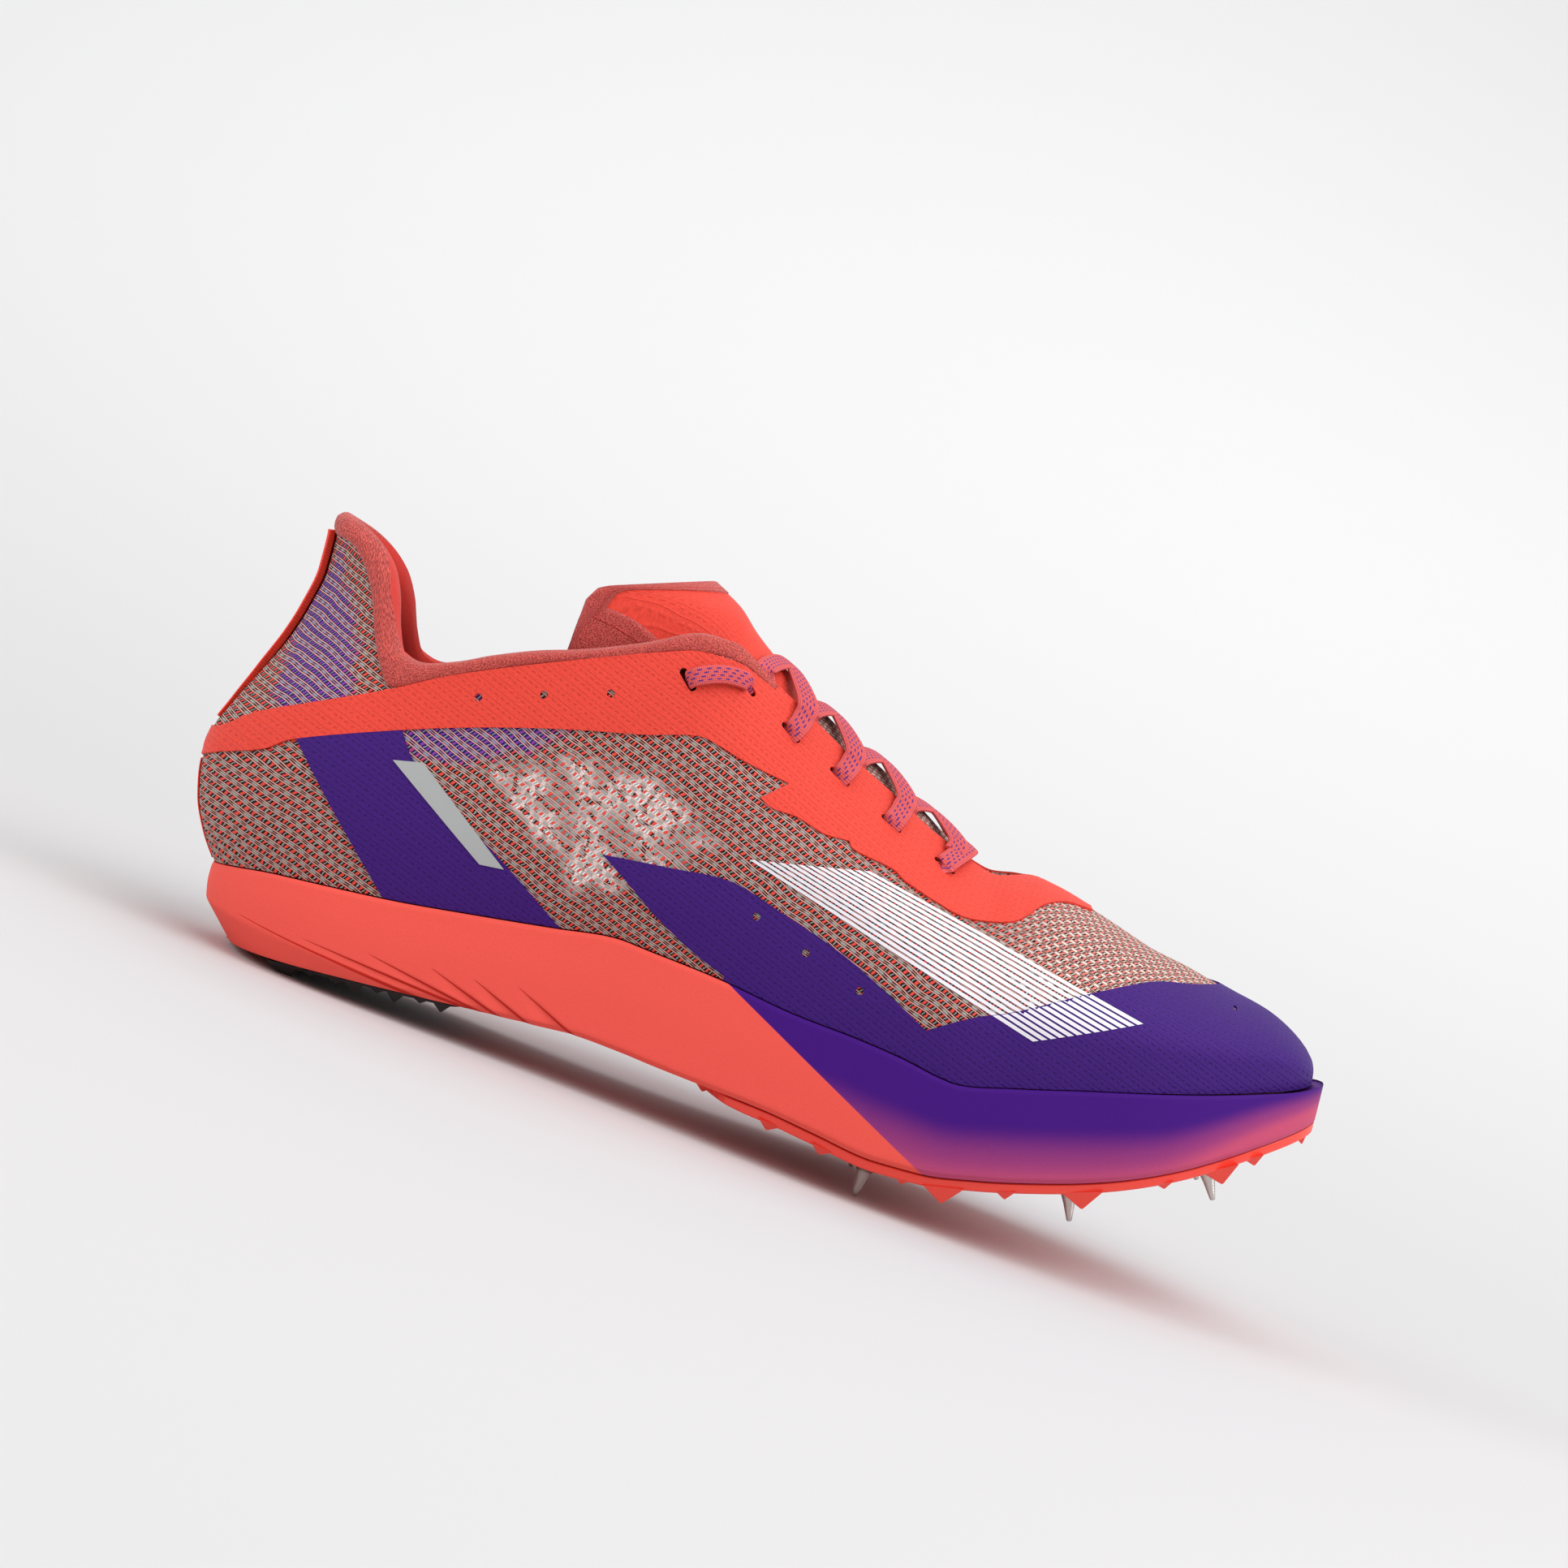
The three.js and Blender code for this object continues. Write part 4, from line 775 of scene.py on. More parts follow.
def open_knit():
    """Rows of slanted rungs and rows of long floats, parted by thin straight yarns."""
    tree, given, out = new_group("open_knit", [
        ("Chart", "Vector", None), ("Scale", "Float", 1.0), ("Gap", "Color", (0, 0, 0, 1)),
        ("Rung", "Color", (1, 0, 0, 1)), ("Float", "Color", (1, 1, 1, 1)),
        ("Line", "Color", (1, 0.5, 0.5, 1)),
    ], [("Color", "Color"), ("Height", "Float")])
    scaled = add(tree, "ShaderNodeVectorMath", {0: given["Chart"]}, operation="SCALE")
    put(tree, given["Scale"], scaled.inputs["Scale"])
    wander = times(tree, noise(tree, given["Chart"], 0.1, 1.0), 1.6)
    shift = add(tree, "ShaderNodeCombineXYZ", {1: wander}).outputs[0]
    chart = add(tree, "ShaderNodeVectorMath", {0: scaled.outputs[0], 1: shift}, operation="ADD").outputs[0]
    along, k, row = rows_of(tree, chart, ROW_PITCH)
    uneven = times(tree, minus(tree, noise(tree, chart, 0.8, 2.0), 0.5), 0.5)
    rung_phase = calc(tree, "FRACT", total(
        tree, over(tree, along, RUNG_PITCH), times(tree, k, -0.42),
        times(tree, row, 0.37), uneven))
    rung_row = band(tree, k, 0.03, 0.43, 0.03)
    red = times(tree, rung_row, band(tree, rung_phase, 0.04, 0.4, 0.06))
    grey = times(tree, rung_row, band(tree, rung_phase, 0.62, 0.8, 0.06))
    float_phase = calc(tree, "FRACT", total(
        tree, over(tree, along, FLOAT_PITCH), times(tree, row, 0.61),
        times(tree, uneven, 0.7)))
    floats = times(tree, band(tree, k, 0.6, 0.84, 0.03), band(tree, float_phase, 0.12, 0.66, 0.07))
    core = times(tree, band(tree, k, 0.68, 0.76, 0.03), 0.75)
    lines = most(tree, band(tree, k, 0.46, 0.56, 0.02), band(tree, k, 0.88, 0.98, 0.02), core)
    colour = blend(tree, red, given["Gap"], given["Rung"])
    colour = blend(tree, grey, colour, given["Float"])
    colour = blend(tree, lines, colour, given["Line"])
    colour = blend(tree, floats, colour, given["Float"])
    put(tree, colour, out["Color"])
    high = most(tree, times(tree, most(tree, red, grey), 0.7), floats, times(tree, lines, 0.8))
    put(tree, high, out["Height"])
    return tree


def fine_grain():
    """The small relief of a skin: a broad grain and a fine one."""
    tree, given, out = new_group("fine_grain", [
        ("Chart", "Vector", None), ("Size", "Float", 1.0), ("Fine", "Float", 0.5),
    ], [("Height", "Float"), ("Shade", "Float")])
    scale = over(tree, 1.0, given["Size"])
    broad = noise(tree, given["Chart"], scale, 3.0, 0.6)
    small = noise(tree, given["Chart"], times(tree, scale, 4.3), 1.0)
    put(tree, total(tree, broad, times(tree, small, given["Fine"])), out["Height"])
    put(tree, ramp(tree, broad, 0.3, 0.7), out["Shade"])
    return tree


def pressed_rows():
    """The rows of the knit below, showing through a bonded film as fine broken grooves."""
    tree, given, out = new_group("pressed_rows", [
        ("Chart", "Vector", None), ("Pitch", "Float", ROW_PITCH),
    ], [("Groove", "Float")])
    along, k, row = rows_of(tree, given["Chart"], given["Pitch"])
    jitter = times(tree, noise(tree, given["Chart"], 0.6, 2.0), 0.9)
    broken = calc(tree, "FRACT", total(tree, over(tree, along, RUNG_PITCH), times(tree, row, 0.47), jitter))
    dash = times(tree, band(tree, k, 0.1, 0.3, 0.09), band(tree, broken, 0.1, 0.62, 0.1))
    line = times(tree, band(tree, k, 0.58, 0.68, 0.05), 0.7)
    put(tree, most(tree, dash, line), out["Groove"])
    return tree


GROUP_MAKERS = {"open_knit": open_knit, "fine_grain": fine_grain, "pressed_rows": pressed_rows}
GROUPS = {}


def use(tree, name, **inputs):
    """Places a shared group, made at its first use, with this material's own values."""
    if name not in GROUPS:
        GROUPS[name] = GROUP_MAKERS[name]()
    made = add(tree, "ShaderNodeGroup", node_tree=GROUPS[name])
    for key, value in inputs.items():
        put(tree, value, made.inputs[key.capitalize()])
    return made.outputs


def start_material(name, colour, roughness, **extra):
    """A plain surface, its tree, its shader and the two charts of the mesh."""
    material = bpy.data.materials.new(name)
    material.use_nodes = True
    material.diffuse_color = rgba(colour)
    tree = material.node_tree
    shader = tree.nodes["Principled BSDF"]
    paint(tree, shader, rgba(colour))
    shader.inputs["Roughness"].default_value = roughness
    for key, value in extra.items():
        shader.inputs[key.replace("_", " ")].default_value = value
    charts = [add(tree, "ShaderNodeUVMap", uv_map=key).outputs[0] for key in ("yarn", "side")]
    return material, tree, shader, charts


def raise_surface(tree, shader, height, distance, strength=1.0):
    """Bump of distance millimetres."""
    bump = add(tree, "ShaderNodeBump", {"Height": height, "Distance": distance / 1000, "Strength": strength})
    put(tree, bump.outputs[0], shader.inputs["Normal"])


def grained(name, colour, roughness, size, depth, fine=0.5):
    """One colour with a small relief, its size and depth in millimetres."""
    material, tree, shader, (yarn, _) = start_material(name, colour, roughness)
    grain = use(tree, "fine_grain", chart=yarn, size=size, fine=fine)
    raise_surface(tree, shader, grain["Height"], depth)
    return material


# distance over the lining's roll at which its inner colour starts, in millimetres
LINING_TURN = (10.2, 11.4)


def nap_material(name, colour, colours, inner=None):
    """A brushed pile: a fine speckle of light tips and dark roots, the roots painted shade between the
    fibres, with a broad random mottle towards the same dark colour.
    """
    material, tree, shader, (yarn, _) = start_material(
        name, colour, 0.9, Sheen_Weight=0.2, Sheen_Roughness=0.5)
    fine = noise(tree, yarn, 2.4, 2.0, 0.7)
    broad = noise(tree, yarn, 0.5, 2.0)
    dark = blend(tree, ramp(tree, fine, 0.36, 0.62), rgba(colours.nap_shade_and_mottle), rgba(colour))
    pile = blend(tree, times(tree, ramp(tree, broad, 0.3, 0.7), 0.25), dark, rgba(colours.nap_shade_and_mottle))
    if inner:
        pile = blend(tree, ramp(tree, xyz(tree, yarn)[1], *LINING_TURN), pile, rgba(inner))
    paint(tree, shader, pile)
    raise_surface(tree, shader, fine, 0.2)
    return material


def film_material(name, colour, mottle_and_groove_shade, groove=0.3, shine=0.3):
    """A bonded film: a fine grain, a faint mottle and the knit's rows pressed through from below, with
    painted shade in their grooves.
    """
    material, tree, shader, (yarn, _) = start_material(name, colour, 0.55, Specular_IOR_Level=shine)
    grain = use(tree, "fine_grain", chart=yarn, size=0.5, fine=0.8)
    rows = use(tree, "pressed_rows", chart=yarn)["Groove"]
    height = minus(tree, times(tree, grain["Height"], 0.5), times(tree, rows, 0.6))
    raise_surface(tree, shader, height, 0.24)
    mottled = blend(tree, times(tree, grain["Shade"], 0.3), rgba(colour), rgba(mottle_and_groove_shade))
    # painted shade: the pressed grooves are darkened towards the shade colour, by the share groove
    paint(tree, shader, blend(tree, times(tree, rows, groove), mottled, rgba(mottle_and_groove_shade)))
    return material


def patch_mask(tree, x, z, corners, wobble, soft=2.0):
    """1 inside a convex patch of the side view, its corners in clockwise order, with a soft uneven edge."""
    depth = None
    for (ax, az), (bx, bz) in zip(corners, corners[1:] + corners[:1]):
        length = math.hypot(bx - ax, bz - az)
        nx, nz = (bz - az) / length, (ax - bx) / length
        far = total(tree, times(tree, x, nx), times(tree, z, nz), -(ax * nx + az * nz))
        depth = far if depth is None else calc(tree, "MINIMUM", depth, far)
    return ramp(tree, total(tree, depth, wobble), -soft, soft)


# side patch where the gaps of the knit get painted light, as if light shone through its holes from behind
THROUGH_LIGHT_PATCH = [(63, 58), (84, 65.5), (104, 67), (122, 54), (114, 42), (92, 35), (74, 49)]
HEEL_VIOLET = [(7.5, 58), (7, 88), (14.5, 99), (25, 80), (27.5, 64)]
BAND_VIOLET = [(40, 62), (60, 74), (82, 73), (72, 65), (56, 57.5), (46, 57)]
PALE_FROM = (186.0, 214.0)


def knit_material(colours, name="knit", pale_all=False):
    """The mesh of the upper with its violet and pale places and a side patch of painted light through its
    holes, or the pale mesh of the tongue.
    """
    material, tree, shader, (yarn, side) = start_material(
        name, colours.yarn_grey, 0.7, Specular_IOR_Level=0.2)
    split = xyz(tree, side)
    x, z = split[0], split[1]
    # the gaps of the knit are painted dark, as the shade of the inside seen through them
    rung, float_colour, gap = rgba(colours.yarn_red), rgba(colours.yarn_grey), rgba(colours.knit_gap_shade)
    if pale_all:
        float_colour = rgba(colours.yarn_pale)
        rung = rgba(colours.tongue_rung)
    else:
        wobble = times(tree, minus(tree, noise(tree, yarn, 0.13, 2.0), 0.5), 12.0)
        streaks = ramp(tree, noise(tree, yarn, 0.09, 1.0), 0.36, 0.6)
        lit_gap_specks = ramp(tree, noise(tree, yarn, 0.5, 1.0), 0.4, 0.46)
        light_through_holes, *violets = (
            patch_mask(tree, x, z, patch, wobble) for patch in (THROUGH_LIGHT_PATCH, HEEL_VIOLET, BAND_VIOLET))
        # painted light: in the side patch, specks of the gaps turn white as light seen through the holes, and
        # the floats are lightened as if lit from behind
        white = times(tree, light_through_holes, total(tree, times(tree, streaks, 0.75), 0.25))
        violet = most(tree, *violets)
        pale = ramp(tree, x, *PALE_FROM)
        gap = blend(tree, times(tree, white, lit_gap_specks), gap, rgba(colours.light_through_holes))
        # violet patches: the gaps take a dark violet, the violet beneath darkened as painted shade
        gap = blend(tree, violet, gap, rgba(colours.violet_gap_shade))
        rung = blend(tree, times(tree, violet, 0.85), rung, rgba(colours.violet_rung))
        rung = blend(tree, times(tree, pale, 0.6), rung, rgba(colours.pale_rung))
        float_colour = blend(tree, times(tree, violet, 0.35), float_colour, rgba(colours.violet_float))
        float_colour = blend(tree, pale, float_colour, rgba(colours.yarn_pale))
        float_colour = blend(tree, times(tree, white, 0.3), float_colour, rgba(colours.backlit_float))
    knit = use(tree, "open_knit", chart=yarn, scale=1.5 if pale_all else 1.0, gap=gap, rung=rung,
               float=float_colour, line=rgba(colours.yarn_pink))
    paint(tree, shader, knit["Color"])
    raise_surface(tree, shader, knit["Height"], 0.4)
    return material


# painted shade in the creases of the midsole side, along the bevel and each rib: start and end in the side
# view, width at the end
SHADED_CREASES = [(11, 9.0, 60, 0.2, 0.9)] + [
    (x * SOLE_LENGTH, z * SOLE_HEIGHT, end * SOLE_LENGTH, low * SOLE_HEIGHT, 0.9) for x, z, end, low in RIBS]


def crease_shade_mask(tree, x, z):
    """1 in the thin creases under the ribs that take painted shade, each wider towards its lower end."""
    mask = None
    for x0, z0, x1, z1, wide in SHADED_CREASES:
        t = over(tree, minus(tree, x, x0), x1 - x0)
        below = minus(tree, total(tree, times(tree, t, z1 - z0), z0), z)
        share_of = over(tree, below, total(tree, times(tree, t, wide), 0.12))
        line = times(tree, band(tree, share_of, 0.0, 1.0, 0.3), band(tree, t, 0.02, 1.1, 0.03))
        mask = line if mask is None else most(tree, mask, line)
    return mask


# line of the side view on which the two colours of the foam meet
FOAM_SPLIT = ((135.1, 20.2), (188.6, -11.4))


def foam_material(colours):
    material, tree, shader, (yarn, side) = start_material(
        "moulded_foam", colours.coral, 0.6, Specular_IOR_Level=0.1)
    split = xyz(tree, side)
    (x0, z0), (x1, z1) = FOAM_SPLIT
    past_x = times(tree, minus(tree, split[0], x0), z0 - z1)
    past_z = times(tree, minus(tree, split[1], z0), x1 - x0)
    ahead = ramp(tree, over(tree, total(tree, past_x, past_z), math.dist(*FOAM_SPLIT)), -0.15, 0.15)
    toe = times(tree, ramp(tree, split[0], 240.0, 284.0), 0.4)
    down = total(tree, xyz(tree, yarn)[1], toe)
    fade = blend(tree, ramp(tree, down, 0.36, 0.8), rgba(colours.purple_foam), rgba(colours.foam_fade))
    fade = blend(tree, ramp(tree, down, 0.72, 1.05), fade, rgba(colours.foam_edge))
    # painted shade: the foam is darkened in the creases under the ribs and along the bevel
    crease_shaded = blend(tree, crease_shade_mask(tree, split[0], split[1]), rgba(colours.coral), rgba(colours.crease_shade))
    grain = use(tree, "fine_grain", chart=side, size=0.5, fine=0.8)
    # a random mottle leans the coral a little towards the same dark crease colour
    coral = blend(tree, times(tree, grain["Shade"], 0.08), crease_shaded, rgba(colours.crease_shade))
    paint(tree, shader, blend(tree, ahead, coral, fade))
    raise_surface(tree, shader, grain["Height"], 0.06)
    return material


def lace_material(colours):
    material, tree, shader, (yarn, _) = start_material(
        "flat_braid", colours.lace, 0.6, Specular_IOR_Level=0.3)
    split = xyz(tree, yarn)
    along, across = split[0], split[1]
    lane = over(tree, across, 0.9)
    number = calc(tree, "FLOOR", lane)
    phase = calc(tree, "FRACT", total(tree, over(tree, along, 2.3), times(tree, number, 0.36)))
    inner = band(tree, across, -1.9, 1.9, 0.1)
    dash = band(tree, phase, 0.15, 0.62, 0.06)
    in_lane = band(tree, calc(tree, "FRACT", lane), 0.3, 0.72, 0.08)
    fleck = times(tree, dash, in_lane, inner)
    # crossing strands of the braid
    one = calc(tree, "SINE", times(tree, total(tree, along, across), 6.5))
    two = calc(tree, "SINE", times(tree, minus(tree, along, across), 6.5))
    weave = times(tree, one, two)
    braid = blend(tree, ramp(tree, weave, -0.9, 0.4), rgba(colours.lace_shadow), rgba(colours.lace))
    paint(tree, shader, blend(tree, fleck, braid, rgba(colours.lace_fleck)))
    raise_surface(tree, shader, weave, 0.12)
    return material


def tape_material(colours):
    material, tree, shader, (yarn, _) = start_material(
        "webbing", colours.film_orange, 0.6, Specular_IOR_Level=0.3)
    split = xyz(tree, yarn)
    rib = calc(tree, "ABSOLUTE", calc(tree, "SINE", times(tree, split[1], 4.2)))
    pick = calc(tree, "SINE", total(tree, times(tree, split[0], 5.2), times(tree, split[1], 2.1)))
    raise_surface(tree, shader, total(tree, rib, times(tree, pick, 0.4)), 0.15)
    return material


# midsole
def wall_half(at, side):
    return feather_half(at, side) + SIDE_RIM


def kink(at):
    return underside(at) * SOLE_HEIGHT + max(EDGE_ROUND, BEVEL_HEIGHT * clamp(1 - at / 0.22))


def inward(at):
    return EDGE_ROUND + 3.2 * clamp(1 - at / 0.22)


def rib_step(x, z):
    """How deep the ribs step into the side of the midsole at a place of the side view."""
    deepest = 0.0
    for start, high, end, low in RIBS:
        x0, z0 = start * SOLE_LENGTH, high * SOLE_HEIGHT
        dx, dz = (end - start) * 1.12 * SOLE_LENGTH, (low - high) * 1.12 * SOLE_HEIGHT
        t = (x - x0 + 0.28 * (z0 - z)) / (dx - 0.28 * dz)
        below = z0 + dz * t - z
        if not 0 < t < 1.05 or below <= 0:
            continue
        deep = RIB_DEPTH * clamp(t, 0.03, 1)
        wide = 0.5 * deep
        fade = RIB_FADE * (0.25 + 0.75 * t)
        step = deep * (below / wide if below < wide else clamp(1 - (below - wide) / fade))
        deepest = max(deepest, step)
    return deepest


def spread(x, half, z, side, plan, shift):
    """A point at a half width, drawn in by the plan and moved over by the last's middle."""
    return Vector((x, shift + plan * (side * half - shift), z))


def from_above(rows):
    """The chart of rows of points as they lie from above."""
    return [[(p.x, p.y) for p in row] for row in rows]


def sole_points(s, side):
    """Half a section of the midsole, from the bed's middle over the rim and down to the middle below."""
    plan = plan_share(s * SOLE_LENGTH, (1 - s) * SOLE_LENGTH)
    top = seat(s) - GAP
    low = underside(s) * SOLE_HEIGHT
    w = wall_half(s, side)
    shift = middle(s) * HALF
    fall = clamp(1 - (s * SOLE_LENGTH) / (HEEL_ROUND * 1.2)) ** 2
    bed = top - LEDGE
    dish = DISH * clamp(plan * 1.6 - 0.5)
    bend = kink(s)
    # half width, height, forward shift, radius of the corner, points on the way to the next
    stops = [
        (0, bed - dish, 0, 0, 4), (w - 9, bed - dish * 0.9, 0, 3, 3),
        (w - SIDE_RIM - WALL - 1.4, bed, 0, 0.5, 2), (w - SIDE_RIM - 0.1, bed, 0, 0, 1),
        (w - SIDE_RIM + 0.1, top, 0, 0.15, 1), (w - 0.5, top, -0.2, 0.3, 1),
        (w, top - 0.9, -0.5, 0.4, 14), (w + 0.5, (top + bend) / 2, -0.7, 4, 18), (w + 0.1, bend, 0, 0.9, 12),
        (w - inward(s), low, HEEL_BEVEL, 0.7, 4), (0, low, HEEL_BEVEL * 0.8, 0, 0),
    ]
    spots = [Vector(stop[:3]) for stop in stops]
    path = []
    for i, (spot, stop) in enumerate(zip(spots, stops)):
        leave = spot
        if stop[3] and 0 < i < len(spots) - 1:
            back_way, on_way = spots[i - 1] - spot, spots[i + 1] - spot
            r = min(stop[3], back_way.length * 0.45, on_way.length * 0.45)
            enter, leave = spot + back_way.normalized() * r, spot + on_way.normalized() * r
            path += [enter.lerp(spot, t).lerp(spot.lerp(leave, t), t) for t in (0, 0.25, 0.5, 0.75)]
        path.append(leave)
        if i < len(spots) - 1:
            nxt = spots[i + 1]
            if stops[i + 1][3]:
                way = spots[i] - nxt
                on = (spots[i + 2] - nxt).length
                nxt = nxt + way.normalized() * min(stops[i + 1][3], way.length * 0.45, on * 0.45)
            path += [leave.lerp(nxt, k / stop[4]) for k in range(1, stop[4])]
    points = []
    charts = []
    rim_height = max(top - low, 1.0)
    for half_w, z, dx in path:
        x = s * SOLE_LENGTH + dx * fall
        step = rib_step(x, z) if half_w > w - 5.5 and z < top - 2 else 0
        points.append(spread(x, half_w - step, z, side, plan, shift))
        charts.append((x, (top - z) / rim_height))
    return points, charts


def even_steps(spans):
    """Stations from (start, end, pitch) spans, each end once."""
    out = []
    for start, end, pitch in spans:
        count = max(1, round((end - start) / pitch))
        out += [start + (end - start) * k / count for k in range(count)]
    out.append(spans[-1][1])
    return out


SOLE_SPANS = [
    (0, 6, 0.5), (6, 24, 1.2), (24, 108, 0.75), (108, 250, 2.0), (250, 278, 1.4), (278, SOLE_LENGTH, 0.5),
]


def make_midsole(colours):
    skin = Skin()
    for side in SIDES:
        made = [sole_points(m / SOLE_LENGTH, side) for m in even_steps(SOLE_SPANS)]
        skin.grid([points for points, _ in made], [charts for _, charts in made], flip=side > 0)
    skin.weld()
    skin.piece("midsole_foam", foam_material(colours), "midsole_foam", ["midsole"])


# plate, rubber and pins
LUGS = [
    (0.465, 0.3, 0.9), (0.526, 0.45, 1.3), (0.574, 0.42, 1.3), (0.646, 0.3, 0.9), (0.681, 0.95, 2.2),
    (0.733, 0.45, 1.1), (0.797, 1, 2.2), (0.865, 0.35, 1), (0.912, 0.95, 2), (0.941, 0.5, 1.1),
]
INNER_LUGS = [(0.53, 0.3, 0.8), (0.58, 0.22, 0.8), (0.66, 0.34, 0.9), (0.72, 0.2, 0.9), (0.85, 0.28, 0.9)]
HEEL_LUGS = [
    (0.113, 0.35), (0.135, 0.6), (0.152, 1), (0.172, 0.45), (0.188, 0.95), (0.21, 0.4), (0.229, 0.8),
]


def plate_thick(at):
    return PLATE * (0.35 + 0.65 * smooth(PLATE_START, PLATE_START + 0.07, at))


def plate_half(at, side):
    grown = 0.5 + 0.5 * smooth(PLATE_START, PLATE_START + 0.05, at)
    return (wall_half(at, side) - inward(at) - PLATE_MARGIN) * grown


def plate_face(at):
    return plate_top(at) - plate_thick(at)


def lug(skin, at, y, long, wide, tall, top, edge=0.3):
    """A pyramid lug with softened edges, its root a little inside what carries it."""
    slope = (underside(at + 0.01) - underside(at - 0.01)) * SOLE_HEIGHT / (0.02 * SOLE_LENGTH)
    u = Vector((1, 0, slope)).normalized()
    n = Vector((u.z, 0, -u.x))
    root = Vector((at * SOLE_LENGTH, y, top))
    base = [root + u * (i * 1.1 * long / 2) - n * 0.5 + Vector((0, j * 1.1 * wide / 2, 0))
            for i, j in ((-1, -1), (1, -1), (1, 1), (-1, 1))]
    tip = root + n * tall
    part = bmesh.new()
    ring = [part.verts.new(p) for p in base]
    point = part.verts.new(tip)
    faces = [part.faces.new((ring[i], ring[(i + 1) % 4], point)) for i in range(4)]
    faces.append(part.faces.new(list(reversed(ring))))
    bmesh.ops.recalc_face_normals(part, faces=faces)
    rims = [e for e in part.edges if point in e.verts]
    bmesh.ops.bevel(part, geom=rims, offset=edge, segments=2, profile=0.6, affect="EDGES")
    part.verts.index_update()
    points = [v.co.copy() for v in part.verts]
    skin.add(points, [[v.index for v in f.verts] for f in part.faces], [(p.x, p.y) for p in points])
    part.free()


def make_plate(colours):
    skin = Skin()
    marks = even_steps([
        (PLATE_START * SOLE_LENGTH, 250, 1.6), (250, 278, 1.2), (278, SOLE_LENGTH - 0.2, 0.5),
    ])
    for side in SIDES:
        rows = []
        for x in marks:
            s = x / SOLE_LENGTH
            plan = rounding((1 - s) * SOLE_LENGTH, TOE_ROUND)
            shift = middle(s) * HALF
            w, top, thick = plate_half(s, side), plate_top(s), plate_thick(s)
            outline = [
                (0, top), (w - 0.3, top), (w, top - 0.25), (w - 0.1, top - thick * 0.5),
                (w - 0.35, top - thick + 0.35), (w - 0.8, top - thick), (w * 0.6, top - thick),
                (0, top - thick),
            ]
            rows.append([spread(x, half, z, side, plan, shift) for half, z in outline])
        skin.grid(rows, from_above(rows), flip=side > 0)
        if side > 0:
            skin.cap(rows[0][::-1], (0, 0))
        for at, tall, long in LUGS:
            plan = rounding((1 - at) * SOLE_LENGTH, TOE_ROUND)
            shift = middle(at) * HALF
            y = shift + plan * (side * (plate_half(at, side) - 2.6) - shift)
            length = long * LUG_HEIGHT
            lug(skin, at, y, length, min(5, length), tall * LUG_HEIGHT, plate_face(at))
        for at, across, tall in INNER_LUGS:
            y = side * across * HALF
            lug(skin, at, y, LUG_HEIGHT * 1.6, LUG_HEIGHT * 1.3, tall * LUG_HEIGHT, plate_face(at))
    lug(skin, 0.99, middle(1) * HALF, 4.4, 7, LUG_HEIGHT * 0.9, plate_top(0.99) - PLATE)
    skin.weld()
    material = grained("moulded_plate", colours.plate, 0.42, 0.7, 0.03)
    skin.piece("forefoot_plate_moulding", material, "plate_plastic", ["forefoot_plate"], soft=False)


def make_rubber(colours):
    skin = Skin()
    x0, x1, w = 0.062 * SOLE_LENGTH, 0.252 * SOLE_LENGTH, 0.5 * HALF
    outline = []
    for cx, start, rx in ((x0 + 18, 90, 18), (x1 - 6, 270, 6)):
        for k in range(19):
            a = math.radians(start + 10 * k)
            outline.append((cx + rx * math.cos(a), w * math.sin(a)))
    levels = [(-GAP, 1.0), (-GAP - RUBBER * 0.7, 1.0), (-GAP - RUBBER, 0.985)]
    cx = sum(p[0] for p in outline) / len(outline)
    rings = [[Vector((cx + (x - cx) * k, y * k, z)) for x, y in outline] for z, k in levels]
    skin.grid(rings, from_above(rings), ring=True)
    skin.cap(rings[-1], (0, 0))
    skin.cap(rings[0][::-1], (0, 0))
    top = -GAP - RUBBER
    for side in SIDES:
        foot(skin, FIRST_HEEL_LUG[0] * SOLE_LENGTH, side * HALF * 0.36, top)
        for i, (at, tall) in enumerate(HEEL_LUGS):
            lug(skin, at, side * HALF * 0.455, 4.6, 4.2, tall * HEEL_LUG_HEIGHT, top, 0.2)
            if i % 2 == 0:
                lug(skin, at, side * HALF * 0.2, 5, 5, HEEL_LUG_HEIGHT * 0.7, top, 0.2)
    skin.weld()
    bmesh.ops.recalc_face_normals(skin.bm, faces=skin.bm.faces)
    material = grained("black_rubber", colours.rubber, 0.7, 0.6, 0.05)
    skin.piece("heel_rubber_pad", material, "black_rubber", ["heel_rubber"], soft=False)


def foot(skin, x, y, top):
    """The rear lug, cut flat on the plane that the shoe stands on."""
    up = STAND.inverted().to_3x3() @ Vector((0, 0, 1))
    base = STAND.inverted() @ Vector((0, 0, 0))
    rings = []
    for half, level in ((4, top + 0.6), (3.6, top), (1.9, None), (1.7, None)):
        ring = []
        for k in range(4):
            for m in (-0.12, 0.12):
                a = math.radians(45 + 90 * k) + m
                px, py = x + half * 1.414 * math.cos(a), y + half * 1.414 * math.sin(a)
                floor = base.z - ((px - base.x) * up.x + (py - base.y) * up.y) / up.z
                z = level if level is not None else floor + (0.15 if half > 1.8 else 0.0)
                ring.append(Vector((px, py, z)))
        rings.append(ring)
    skin.grid(rings, from_above(rings), ring=True)
    skin.cap(rings[-1], (0, 0))


